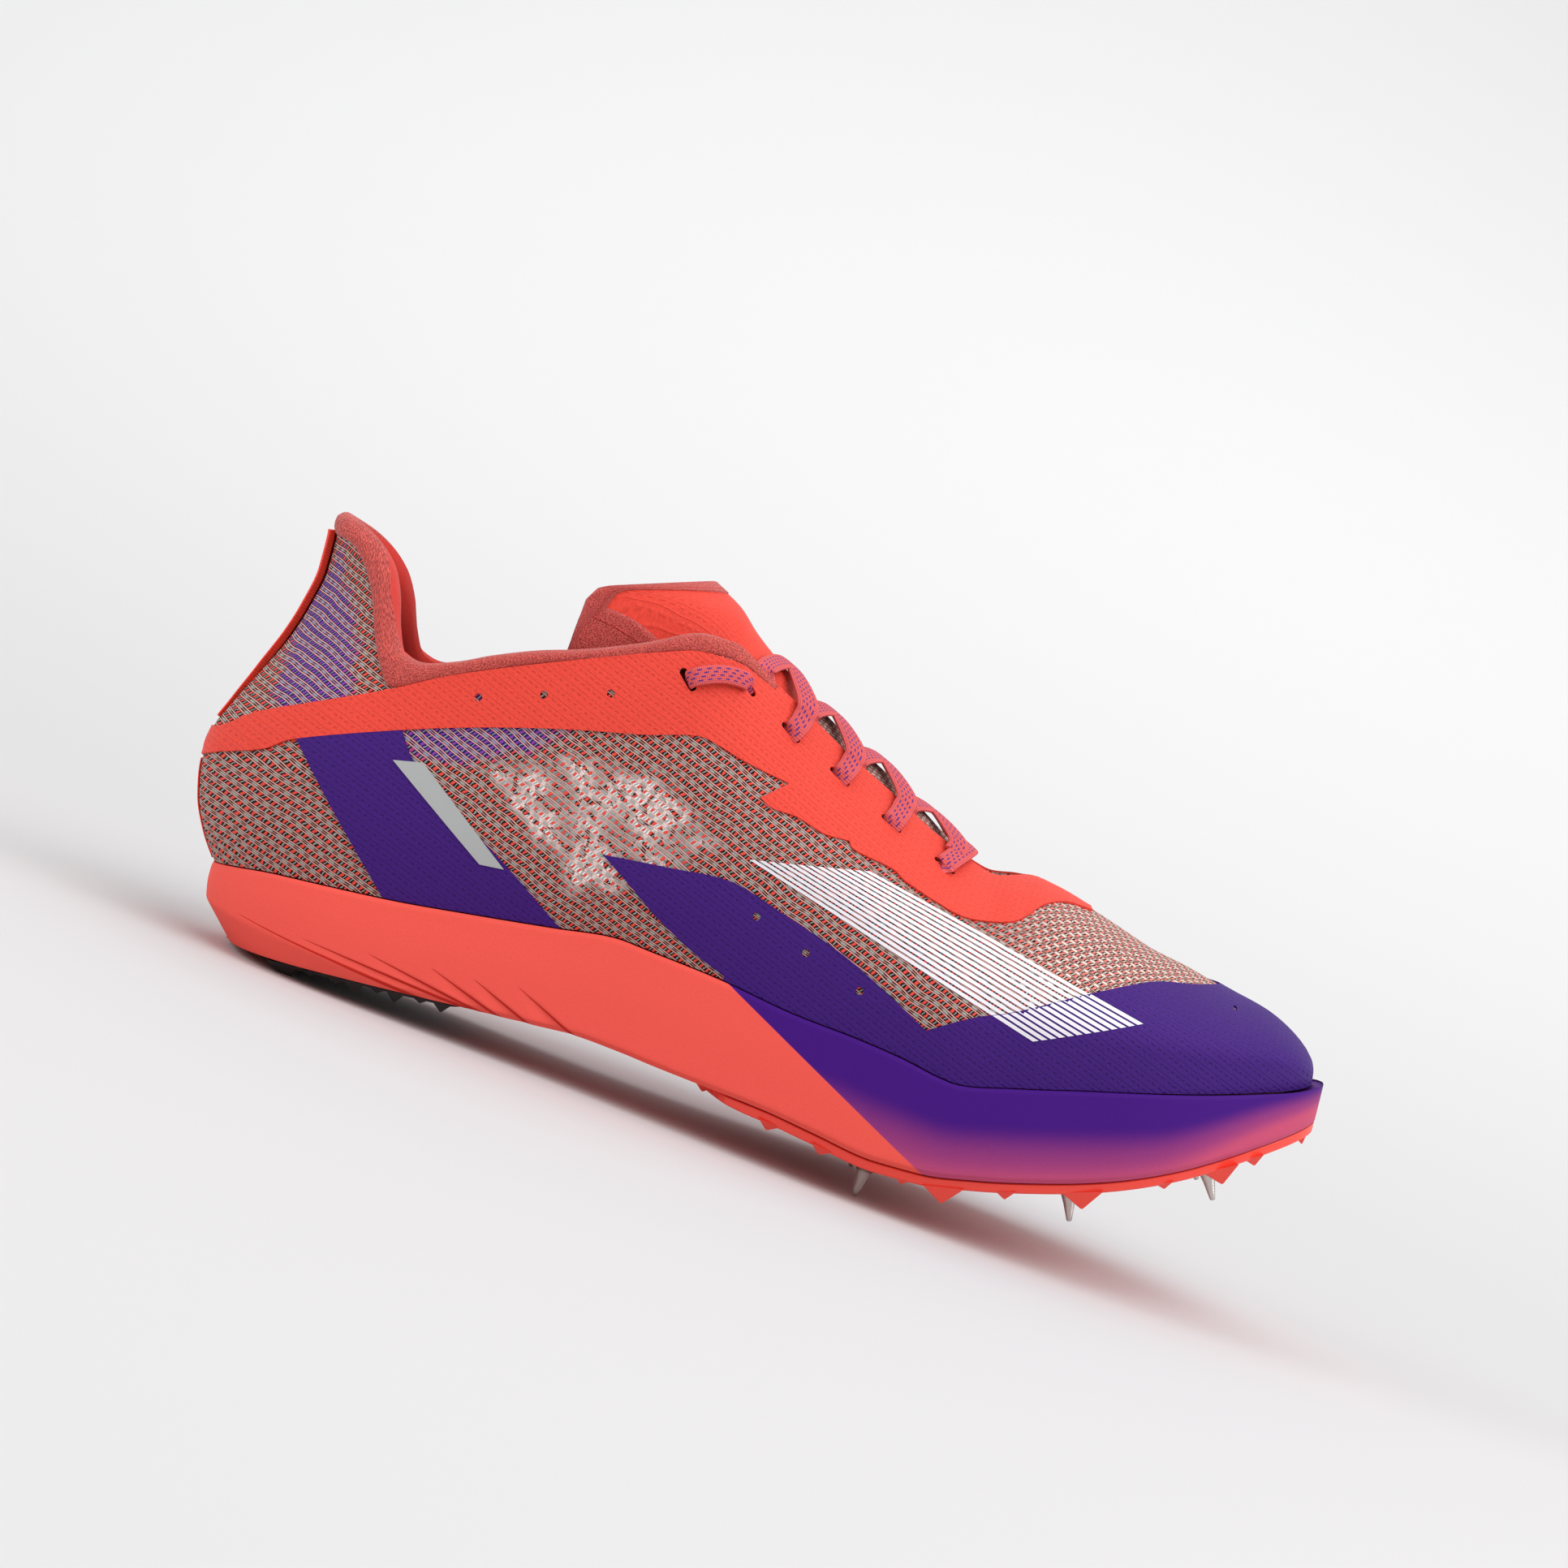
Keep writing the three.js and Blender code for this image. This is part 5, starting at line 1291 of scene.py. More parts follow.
def make_pins(colours):
    material, tree, shader, (yarn, _) = start_material("turned_steel", colours.steel, 0.3, Metallic=1.0)
    split = xyz(tree, yarn)
    raise_surface(tree, shader, calc(tree, "SINE", times(tree, split[1], 22.0)), 0.02)
    reach = FLANGE_HEIGHT + PIN_LENGTH
    # radius, and height from the flange's seat
    profile = [
        (0.4, 0), (PIN_FLANGE - 0.25, 0), (PIN_FLANGE, 0.2), (PIN_FLANGE, 0.7),
        (PIN_FLANGE * 0.93, FLANGE_HEIGHT), (PIN_ROOT + 0.5, FLANGE_HEIGHT + 0.02),
        (PIN_ROOT, FLANGE_HEIGHT + 0.25), (PIN_ROOT * 0.84, FLANGE_HEIGHT + 1.0),
        (PIN_ROOT * 0.62, FLANGE_HEIGHT + PIN_LENGTH * 0.4),
        (PIN_ROOT * 0.44, FLANGE_HEIGHT + PIN_LENGTH * 0.72),
        (PIN_TIP * 1.05, reach - 0.25), (PIN_TIP * 0.75, reach - 0.04), (0.05, reach),
    ]
    for key, at, across in PINS:
        for side, word in SIDE_NAMES:
            head, axis = pin_place(at, across, side)
            u = axis.cross(Vector((0, 1, 0))).normalized()
            v = axis.cross(u)
            rings = []
            for r, h in profile:
                ring = []
                for k in range(36):
                    a = 2 * math.pi * k / 36
                    flat = 1.0
                    if 0.2 <= h <= FLANGE_HEIGHT and r > PIN_ROOT + 1:
                        from_flat = (a + math.pi / 6) % (math.pi / 3) - math.pi / 6
                        flat = min(1.0, 0.9 / max(abs(math.cos(from_flat)), 0.5))
                    ring.append(head + axis * h + u * r * flat * math.cos(a) + v * r * flat * math.sin(a))
                rings.append(ring)
            skin = Skin()
            skin.grid(rings, [[(k * 0.3, h) for k in range(36)] for _, h in profile], ring=True)
            bmesh.ops.recalc_face_normals(skin.bm, faces=skin.bm.faces)
            skin.piece(f"{key}_pin_{word}", material, "pin_steel", [f"pin_{key}_{word}"])


# upper
FRAME_LOOP = [(0.0, 0.0), (UPPER_LENGTH, 0.0), (UPPER_LENGTH, CHART_HEIGHT), (0.0, CHART_HEIGHT)]


def dense(loop, step=1.2):
    out = []
    for p, q in zip(loop, loop[1:] + loop[:1]):
        count = max(1, round(math.dist(p, q) / step))
        out += [(p[0] + (q[0] - p[0]) * k / count, p[1] + (q[1] - p[1]) * k / count) for k in range(count)]
    return out


def make_upper(colours):
    skin = Skin()
    holes = {side: eyelets(side, 0.35) for side in SIDES}
    for side in SIDES:
        lay(skin, [dense(FRAME_LOOP), *holes[side]], side, 0.0, spacing=(1.7, 2.0))
    skin.weld(0.03)
    skin.hem([WALL - 0.2])
    for side in SIDES:
        lay(skin, [dense(FRAME_LOOP, 2.0), *holes[side]], side, -(WALL - 0.2), inner=True, spacing=(3.2, 3.4))
    skin.piece("upper_knit", knit_material(colours), "upper_mesh", ["upper"])


def below_roll(p):
    return p.z < roll_edge(p.x)


def make_lining(colours):
    """The padded lining, from the roll's lower edge outside over the topline and down the inner wall."""
    skin = Skin()
    stations = [m / UPPER_LENGTH for m in even_steps([(0, 5, 0.5), (5, 50, 1.3), (50, LINING_END, 1.6)])]
    for side in SIDES:
        rows = []
        for s in stations:
            at = s * UPPER_LENGTH / SOLE_LENGTH
            start = min(halving(0.45, 1.0, 18, lambda v: below_roll(form(s, v, side)))[0], 0.985)
            swell = 0.6 * smooth(0.445, 0.39, at)
            row = [form(s, start, side, 0.3)]
            for t in (0.04, 0.15, 0.3, 0.5, 0.7, 0.88):
                puff = 0.25 + swell * math.sin(math.pi * min(1, t * 1.1)) ** 0.7
                row.append(form(s, start + (1 - start) * t, side, -puff))
            a, c = form(s, 1, side, -0.1), form(s, 1, side, WALL + pad(at, 1))
            lift = Vector((0, 0, ROLL * padding(at) + 0.15))
            m = (a + c) / 2 + lift
            bulge = [p.lerp(m, 0.55) + Vector((0, 0, 0.25 * (m.z - p.z))) for p in (a, c)]
            row += catmull([a, bulge[0], m, bulge[1], c], 3)
            row += [form(s, 1 - k / 18, side, WALL + pad(at, 1 - k / 18) + 0.1) for k in range(1, 19)]
            rows.append(row)
        charts = []
        for row in rows:
            length = 0.0
            chart_row = []
            for p, q in zip([row[0], *row], row):
                length += (q - p).length
                chart_row.append((q.x, length))
            charts.append(chart_row)
        skin.grid(rows, charts, flip=side > 0)
    skin.weld()
    material = nap_material("brushed_lining", colours.lining, colours, colours.lining_inside)
    skin.piece("collar_lining", material, "insole_fabric")


def bonded(name, outline, material, slot, replaces=(), sides=SIDES, lift=0.55, vents=(), slots=False):
    """A film bonded to the upper, cut to an outline of the side view."""
    skin = Skin()
    shape = soften(outline)
    for side in sides:
        loops = [[chart(x, z, side) for x, z in shape]]
        loops += [disc(x, z, radius, side) for x, z, radius in vents]
        if slots:
            loops += eyelets(side)
        lay(skin, loops, side, lift)
    skin.weld(0.03)
    skin.hem([0.12, lift + 0.1])
    skin.piece(name, material, slot, replaces)


def share(points):
    """Places of the side view in millimetres as the shares that outlines use."""
    return [(x / SOLE_LENGTH, (z - SOLE_HEIGHT) / COLLAR_HEIGHT) for x, z in points]


ORANGE_VENTS = [(57.7, 74.6, 1.0), (73, 78.9, 1.0), (88.6, 83, 1.0)]
PURPLE_VENTS = [(135.4, 39.2, 1.0), (148.9, 33.6, 1.0), (163.5, 27.9, 1.0), (256.2, 42.8, 0.5)]
HEEL_BAR = [(41.3, 55.0), (48.6, 56.1), (73.5, 35.5), (67.5, 35.3)]


def make_films(colours):
    orange = film_material("orange_film", colours.film_orange, colours.orange_mottle_and_groove_shade)
    purple = film_material("purple_film", colours.film_purple, colours.purple_mottle_and_groove_shade, 0.4, 0.14)
    bonded("collar_band_film", BAND, orange, "film_orange", ["collar_band"], vents=ORANGE_VENTS, slots=True)
    bonded("forefoot_film", FOREFOOT, purple, "film_purple", ["forefoot_panel"], vents=PURPLE_VENTS, lift=0.5)
    for side, word in SIDE_NAMES:
        bonded(f"heel_film_{word}", HEEL_PANEL, purple, "film_purple", [f"heel_panel_{word}"], (side,), 0.5)


def make_reflectors(colours):
    material = grained("reflective_film", colours.reflective, 0.4, 0.3, 0.05, fine=1.0)
    for side, word in SIDE_NAMES:
        bonded(f"reflective_bar_{word}", share(HEEL_BAR), material, "film_purple", sides=(side,), lift=0.72)


STRIPE_FIELD = [(130, 52), (160, 56), (232, 36), (206, 26)]
STRIPE_COUNT = 13


def make_stripes(colours):
    """A plain field of even slanted pinstripes on the forefoot."""
    material = grained("pale_print", colours.print_white, 0.5, 0.4, 0.02)
    low_left, high_left, high_right, low_right = (Vector(p) for p in STRIPE_FIELD)
    films = [soften(FOREFOOT), soften(BAND)]

    def over_films(points):
        flat = [(p.x, p.z) for p in points]
        covered = inside(flat, films[:1]) | inside(flat, films[1:])
        return np.where(covered, 0.62, 0.2)

    for side, word in SIDE_NAMES:
        skin = Skin()
        for k in range(STRIPE_COUNT):
            t0, t1 = (k + 0.18) / STRIPE_COUNT, (k + 0.82) / STRIPE_COUNT
            left = [low_left.lerp(high_left, t) for t in (t0, t1)]
            right = [low_right.lerp(high_right, t) for t in (t1, t0)]
            loop = [chart(x, z, side) for x, z in dense([tuple(p) for p in left + right], 1.0)]
            lay(skin, [loop], side, over_films, spacing=(1.2, 1.2))
        skin.weld(0.02)
        skin.hem([0.15])
        skin.piece(f"pinstripes_{word}", material, "film_purple")


def back_strip(low, high, count, width, thickness, deep):
    """A strip up the centre back between two heights, its thickness given for each height up the section."""
    rows, charts = [], []
    lanes = [-1, -0.96, -0.86, -0.7, -0.5, -0.25, 0, 0.25, 0.5, 0.7, 0.86, 0.96, 1]
    for k in range(count + 1):
        z = low + (high - low) * k / count
        v = height_at(0.0, z, 1)
        thick = thickness(v)
        row, chart_row = [], []
        for lane in lanes:
            side = -1 if lane < 0 else 1
            target = abs(lane) * width / 2
            s = halving(0.0, 0.12, 16, lambda at: abs(form(at, v, side).y) < target)[0]
            rim = 0.25 if abs(lane) > 0.99 else (0.08 if abs(lane) > 0.95 else 0)
            row.append(form(s, v, side, -(thick - rim)))
            chart_row.append((lane * width / 2, z))
        rows.append(row)
        charts.append(chart_row)
    skin = Skin()
    skin.grid(rows, charts, flip=True)
    bmesh.ops.recalc_face_normals(skin.bm, faces=skin.bm.faces)
    skin.bm.normal_update()
    if next(iter(skin.bm.faces)).normal.x > 0:
        bmesh.ops.reverse_faces(skin.bm, faces=skin.bm.faces)
    skin.hem([deep])
    return skin


def make_heel_tape(colours):
    """Webbing up the centre back of the heel, and the thin tail that it leaves below the band."""
    material = tape_material(colours)
    low = SOLE_HEIGHT + 0.315 * COLLAR_HEIGHT
    high = SOLE_HEIGHT + 0.878 * COLLAR_HEIGHT
    tape = back_strip(low, high, 70, TAPE_WIDTH, lambda v: 0.75 + 1.5 * smooth(0.42, 0.66, v), 2.1)
    tape.piece("heel_tape", material, "webbing", ["heel_strip"])
    tail_high = SOLE_HEIGHT + 0.19 * COLLAR_HEIGHT
    tail = back_strip(seat(0) + 0.4, tail_high, 24, TAPE_WIDTH * 0.7, lambda v: 0.3, 0.5)
    tail.piece("heel_tail", material, "webbing")


def make_insole(colours):
    inset = WALL + 0.7
    skin = Skin()
    stations = [m / UPPER_LENGTH for m in even_steps([(0, 8, 0.8), (8, 260, 3.0), (260, UPPER_LENGTH, 1.0)])]
    for side in SIDES:
        rows = []
        for s in stations:
            base = s * UPPER_LENGTH
            at = base / SOLE_LENGTH
            plan = plan_share(base, UPPER_LENGTH - base)
            x = base + (inset + 0.6) * (clamp(1 - s / 0.2) ** 2 - clamp(1 - (1 - s) / 0.2) ** 2)
            w = feather_half(at, side) - inset
            shift = middle(at) * HALF
            z0 = seat(x / SOLE_LENGTH)
            low = z0 - LEDGE - DISH * clamp(plan_share(x, SOLE_LENGTH - x) * 1.6 - 0.5)
            wide = max(w - 8, w * 0.5)
            lip = z0 + INSOLE_LIP
            outline = [
                (0, low), (wide, low + 0.5), (w - 0.3, z0 + 0.2), (w - 0.3, lip - 0.3), (w - 0.6, lip),
                (w - 1.4, lip - 0.05), (w * 0.75, lip - 0.35), (w * 0.4, lip - 0.5), (0, lip - 0.6),
            ]
            rows.append([spread(x, half, z, side, plan, shift) for half, z in outline])
        skin.grid(rows, from_above(rows), flip=side < 0)
    skin.weld()
    bmesh.ops.recalc_face_normals(skin.bm, faces=skin.bm.faces)
    material = nap_material("insole_top", colours.insole, colours)
    skin.piece("insole_bed", material, "insole_fabric", ["insole"])


# tongue
tongue_columns = [
    column([(i / (len(TONGUE) - 1), row[k]) for i, row in enumerate(TONGUE)], 1) for k in range(8)
]
tongue_height = column([(-row[0], row[1]) for row in TONGUE], 1)


def tongue_crest(at):
    return SOLE_HEIGHT + tongue_height(-at) * COLLAR_HEIGHT


def tongue_point(t, b, drop=0.0):
    """A point of the tongue, t from its toe end to its top and b from edge to edge, drop below its face."""
    crest_x, crest_z, edge_x, edge_z, reach, fore, down, tilt = (c(t) for c in tongue_columns)
    beta = abs(b) * math.pi / 2
    f = 1 - math.cos(beta)
    sign = 1 if b > 0 else -1 if b < 0 else 0
    x = (crest_x + (edge_x - crest_x) * f**fore) * SOLE_LENGTH
    z = SOLE_HEIGHT + (crest_z + (edge_z - crest_z) * (tilt * f**fore + (1 - tilt) * f**down)) * COLLAR_HEIGHT
    y = middle(crest_x) * HALF + sign * math.sin(beta) * reach * HALF
    sunk = drop * (0.35 + 0.65 * math.cos(beta))
    return Vector((x - drop * 0.35, y - sign * drop * math.sin(beta) * 0.7, z - sunk))


def tongue_sheet(skin, t_marks, b_marks, drop, flip=False):
    """A sheet of the tongue, charted by the lengths along its crest and out to its edges."""
    rows = [[tongue_point(t, b, drop) for b in b_marks] for t in t_marks]
    charts = []
    length = 0.0
    middle_column = min(range(len(b_marks)), key=lambda i: abs(b_marks[i]))
    for i, row in enumerate(rows):
        if i:
            length += (row[middle_column] - rows[i - 1][middle_column]).length
        out = [0.0] * len(row)
        for k in range(middle_column + 1, len(row)):
            out[k] = out[k - 1] + (row[k] - row[k - 1]).length
        for k in range(middle_column - 1, -1, -1):
            out[k] = out[k + 1] - (row[k] - row[k + 1]).length
        charts.append([(length, across) for across in out])
    skin.grid(rows, charts, flip)


MARGIN = 4.0
MARGIN_START = 0.5


def top_inset(b):
    """How far below the top the margin ends, in shares of the tongue's length."""
    span = (tongue_point(1, b) - tongue_point(0.97, b)).length / 0.03
    return MARGIN / max(span, 30)


def margin_share(t):
    """Half width that the margin takes at each side."""
    return 0.12 - 0.085 * smooth(0.8, 1.0, t)


def make_tongue(colours):
    count = 64
    ts = [k / count for k in range(count + 1)]
    bs = [math.sin(math.pi / 2 * (k / 26 - 1)) for k in range(53)]
    skin = Skin()
    tongue_sheet(skin, ts, bs, 0.0, flip=True)
    tongue_sheet(skin, ts, bs, TONGUE_THICKNESS - 0.2)
    skin.weld()
    border = [e for e in skin.bm.edges if e.is_boundary]
    bmesh.ops.bridge_loops(skin.bm, edges=border)
    bmesh.ops.recalc_face_normals(skin.bm, faces=skin.bm.faces)
    skin.piece("tongue_body", knit_material(colours, "pale_knit", True), "tongue_fabric", ["tongue"])
    make_tongue_film(colours)
    make_tongue_binding(colours)


def make_tongue_film(colours):
    """A film over the upper tongue, up to the margin at its top and sides and narrower under the laces."""
    panel = Skin()
    rows, charts = [], []
    low = 0.6
    for i in range(41):
        row, chart_row = [], []
        for k in range(37):
            side = k / 18 - 1
            t = low + (1 - top_inset(side * 0.88) * 0.6 - low) * i / 40
            reach = 0.5 + (0.5 - margin_share(t) * 0.6) * smooth(0.7, 0.84, t)
            row.append(tongue_point(t, reach * side, -0.3))
            chart_row.append((t * 120, reach * side * 36))
        rows.append(row)
        charts.append(chart_row)
    panel.grid(rows, charts, flip=True)
    panel.hem([0.12, 0.4])
    material = film_material("tongue_film", colours.film_orange, colours.orange_mottle_and_groove_shade, 0.1)
    panel.piece("tongue_film", material, "film_orange")


def make_tongue_binding(colours):
    """A brushed margin folded over both sides of the tongue and over its top."""
    outer = [(MARGIN_START + (1 - MARGIN_START) * k / 40, -1.0) for k in range(41)]
    outer += [(1.0, k / 24 - 1) for k in range(1, 48)]
    outer += [(1 - (1 - MARGIN_START) * k / 40, 1.0) for k in range(41)]
    inner = []
    for t, b in outer:
        end = 1 - top_inset(clamp(b, -0.9, 0.9))
        if abs(b) == 1:
            t = MARGIN_START + (t - MARGIN_START) / (1 - MARGIN_START) * (end - MARGIN_START)
        else:
            t = end
        inner.append((t, b * (1 - margin_share(t))))
    skin = Skin()
    rows, charts = [], []
    length = 0.0
    middle_before = None
    for (t, b), (ti, bi) in zip(outer, inner):
        spots = [(ti + (t - ti) * k / 5, bi + (b - bi) * k / 5) for k in range(6)]
        face = [tongue_point(*spot, -0.6) for spot in spots]
        under = [tongue_point(*spot, TONGUE_THICKNESS + 0.1) for spot in spots]
        centre = (face[-1] + under[-1]) / 2
        half = (face[-1] - under[-1]) / 2
        out = (face[-1] - face[-2]).normalized() * half.length * 0.7
        bends = [math.pi * k / 6 for k in range(1, 6)]
        turn = [centre + half * math.cos(a) + out * math.sin(a) for a in bends]
        row = [face[0] - half * 0.3, *face, *turn, *reversed(under), under[0] + half * 0.3]
        if middle_before is not None:
            length += (centre - middle_before).length
        middle_before = centre
        across = 0.0
        chart_row = [(length, across)]
        for p, q in zip(row, row[1:]):
            across += (q - p).length
            chart_row.append((length, across))
        rows.append(row)
        charts.append(chart_row)
    skin.grid(rows, charts)
    bmesh.ops.recalc_face_normals(skin.bm, faces=skin.bm.faces)
    material = nap_material("tongue_margin", colours.tongue_edge, colours)
    skin.piece("tongue_edging", material, "tongue_fabric")


# laces
ARCH_LIFT = 0.6
LACE_CLEAR = GAP + FILM + 0.4 + 0.6


def over_tongue(at):
    """Height of a lace's middle where it lies on the tongue."""
    return tongue_crest(at) + 1.2 + 0.4 + ARCH_LIFT


def ribbon(skin, path, normals, width, thickness):
    """A flat braid with rounded edges along a path."""
    rings, charts = [], []
    length = 0.0
    outline = []
    for k in range(16):
        a = 2 * math.pi * k / 16
        c, s = math.cos(a), math.sin(a)
        flat, edge = math.copysign(abs(c) ** 0.55, c), math.copysign(abs(s) ** 0.9, s)
        outline.append((flat * width / 2, edge * thickness / 2))
    for i, p in enumerate(path):
        run = (path[min(i + 1, len(path) - 1)] - path[max(i - 1, 0)]).normalized()
        n = (normals[i] - run * normals[i].dot(run)).normalized()
        w = run.cross(n)
        if i:
            length += (p - path[i - 1]).length
        rings.append([p + w * a + n * b for a, b in outline])
        charts.append([(length, a) for a, _ in outline])
    skin.grid(rings, charts, ring=True)
    skin.cap(rings[0], (0, 0))
    skin.cap(rings[-1][::-1], (0, 0))


def throat_edge(at, side):
    return form(at * SOLE_LENGTH / UPPER_LENGTH, 1, side)


def lace_normals(path, shift):
    out = []
    for p in path:
        slant = clamp((p.y - shift) / (HALF * 0.6), -1, 1)
        out.append(Vector((0.45 * (1 - abs(slant) * 0.6), slant * 1.1, 0.9)).normalized())
    return out


def strand(skin, sizes, row, side, to_at):
    """Out of an eyelet slot, over the near edge and the tongue, and in under the far edge."""
    p, n = SLOT_PLACES[row, side][:2]
    from_at = p.x / SOLE_LENGTH
    up = throat_edge(from_at + 0.0075, side)
    toward = (up - p).normalized()
    points = [p.lerp(up, 0.55) + n * (LACE_CLEAR + 0.4), up + Vector((0, side * 0.2, 1)) * (LACE_CLEAR + 1)]
    if row:
        points = [
            p - n * 3.2 - toward * 1.2, p - n * 0.6 - toward * 0.5,
            p + n * (LACE_CLEAR - 0.1) + toward * 0.9, *points,
        ]
    mid_at = from_at + (to_at - from_at) * 0.45
    shift = middle(mid_at) * HALF
    points.append(Vector((mid_at * SOLE_LENGTH, shift, over_tongue(mid_at))))
    far = throat_edge(to_at, -side)
    points.append(far + Vector((0, side * 3.0, 1.6)))
    points += [form(to_at * SOLE_LENGTH / UPPER_LENGTH, v, -side, WALL + 0.9) for v in (0.985, 0.93)]
    path = catmull(points, 7)
    ribbon(skin, path, lace_normals(path, shift), sizes.lace_width, sizes.lace_thickness)


def make_laces(colours, sizes):
    material = lace_material(colours)
    skin = Skin()
    for side in SIDES:
        for row in range(4):
            (a, _), (b, _) = SLOTS[row], SLOTS[row + 1]
            strand(skin, sizes, row, side, b + (a - b) * 0.27)
    (a, an, *_), (b, bn, *_) = SLOT_PLACES[0, -1], SLOT_PLACES[0, 1]
    at = SLOTS[0][0] + 0.018
    near, far = (throat_edge(at, side) + Vector((0, side * 0.2, 1)) * (LACE_CLEAR + 0.6) for side in SIDES)
    points = [
        a - an * 3.2, a - an * 0.6, a + an * LACE_CLEAR, near,
        Vector((at * SOLE_LENGTH + 1, middle(at) * HALF, over_tongue(at))),
        far, b + bn * LACE_CLEAR, b - bn * 0.6, b - bn * 3.2,
    ]
    path = catmull(points, 7)
    ribbon(skin, path, lace_normals(path, middle(at) * HALF), sizes.lace_width, sizes.lace_thickness)
    skin.piece("lace_over_throat", material, "lace", ["lace_crossings"])
    for side, word in SIDE_NAMES:
        bar = Skin()
        a, an = SLOT_PLACES[4, side][:2]
        b, bn = SLOT_PLACES[5, side][:2]
        points = [a - an * 3.0 + (b - a) * 0.02, a - an * 0.5]
        for t, lift in ((0.1, 0.2), (0.3, 0.5), (0.5, 0.7), (0.7, 0.5), (0.9, 0.2)):
            x, z = a.x + (b.x - a.x) * t, a.z + (b.z - a.z) * t + 1.6 * math.sin(math.pi * t)
            s, v = locate(x, z, side)
            points.append(form(s, v, side) + normal_at(s, v, side) * (LACE_CLEAR - 0.1 + lift))
        points += [b - bn * 0.5, b - bn * 3.0 - (b - a) * 0.02]
        path = catmull(points, 6)
        ribbon(bar, path, [(an + bn).normalized()] * len(path), sizes.lace_width * 0.85, sizes.lace_thickness)
        bar.piece(f"lace_top_{word}", material, "lace", [f"lace_bar_{word}"])


# stage
CAMERA_PLACE = Vector((126.97, -931.03, 102.07))
CAMERA_ROLL = math.radians(13.6)
CAMERA_PITCH = math.radians(2.0)
FOCAL = 4562.0
PHOTO = 1932.0


def make_stage(colours):
    scene = bpy.context.scene
    scene.view_settings.view_transform = "Standard"
    camera = bpy.data.objects.new("camera", bpy.data.cameras.new("camera"))
    scene.collection.objects.link(camera)
    c, s = math.cos(CAMERA_ROLL), math.sin(CAMERA_ROLL)
    cp, sp = math.cos(CAMERA_PITCH), math.sin(CAMERA_PITCH)
    right = Vector((c, 0, s))
    up = Vector((-cp * s, sp, cp * c))
    forward = Vector((sp * s, cp, -sp * c))
    turn = STAND.to_3x3()
    axes = [(turn @ v).normalized() for v in (right, up, -forward)]
    place = Matrix((axes[0], axes[1], axes[2])).transposed().to_4x4()
    place.translation = STAND @ CAMERA_PLACE
    camera.matrix_world = place
    camera.data.sensor_width = 36.0
    camera.data.lens = FOCAL * 36.0 / PHOTO
    camera.data.clip_start = 0.01
    scene.camera = camera

    skin = bmesh.new()
    rows = []
    for k in range(25):
        t = k / 24
        a = math.pi / 2 * clamp((t - 0.4) / 0.6)
        y = 2.2 * min(t / 0.4, 1) - 2.0 + 1.6 * math.sin(a)
        z = 1.6 * (1 - math.cos(a))
        rows.append([skin.verts.new((x, y, z)) for x in (-5, 0, 5)])
    for low, high in zip(rows, rows[1:]):
        for i in range(2):
            skin.faces.new((low[i], low[i + 1], high[i + 1], high[i])).smooth = True
    mesh = bpy.data.meshes.new("backdrop")
    skin.to_mesh(mesh)
    skin.free()
    backdrop = bpy.data.objects.new("backdrop", mesh)
    paper, tree, shader, _ = start_material("paper", colours.paper, 0.9)
    away = xyz(tree, add(tree, "ShaderNodeTexCoord").outputs["Object"])[1]
    paint(tree, shader, blend(tree, ramp(tree, away, 0.1, 1.3), rgba(colours.floor), rgba(colours.paper)))
    mesh.materials.append(paper)
    scene.collection.objects.link(backdrop)

    world = bpy.data.worlds.new("studio")
    scene.world = world
    world.use_nodes = True
    sky = world.node_tree.nodes["Background"]
    sky.inputs["Color"].default_value = (1, 1, 1, 1)
    sky.inputs["Strength"].default_value = 0.5
    for name, spot, target, size, power in (
            ("key", (0.5, -0.9, 1.3), (0.04, 0, 0.03), 1.3, 11.0),
            ("top", (0.1, 0.2, 1.5), (0, 0, 0), 1.6, 9.0),
            ("toe_side", (1.2, -0.4, 0.9), (0.08, 0, 0.05), 0.9, 8.0),
            ("heel_side", (-1.1, -0.35, 0.55), (-0.12, 0, 0.06), 0.6, 5.0)):
        light = bpy.data.objects.new(name, bpy.data.lights.new(name, "AREA"))
        light.data.size = size
        light.data.energy = power
        light.location = spot
        light.rotation_euler = (Vector(target) - Vector(spot)).to_track_quat("-Z", "Y").to_euler()
        scene.collection.objects.link(light)


# the add-on
def colour_property(name, description, red, green, blue):
    return bpy.props.FloatVectorProperty(
        name=name, description=description, subtype="COLOR", size=3, min=0, max=1,
        default=linear(red, green, blue))


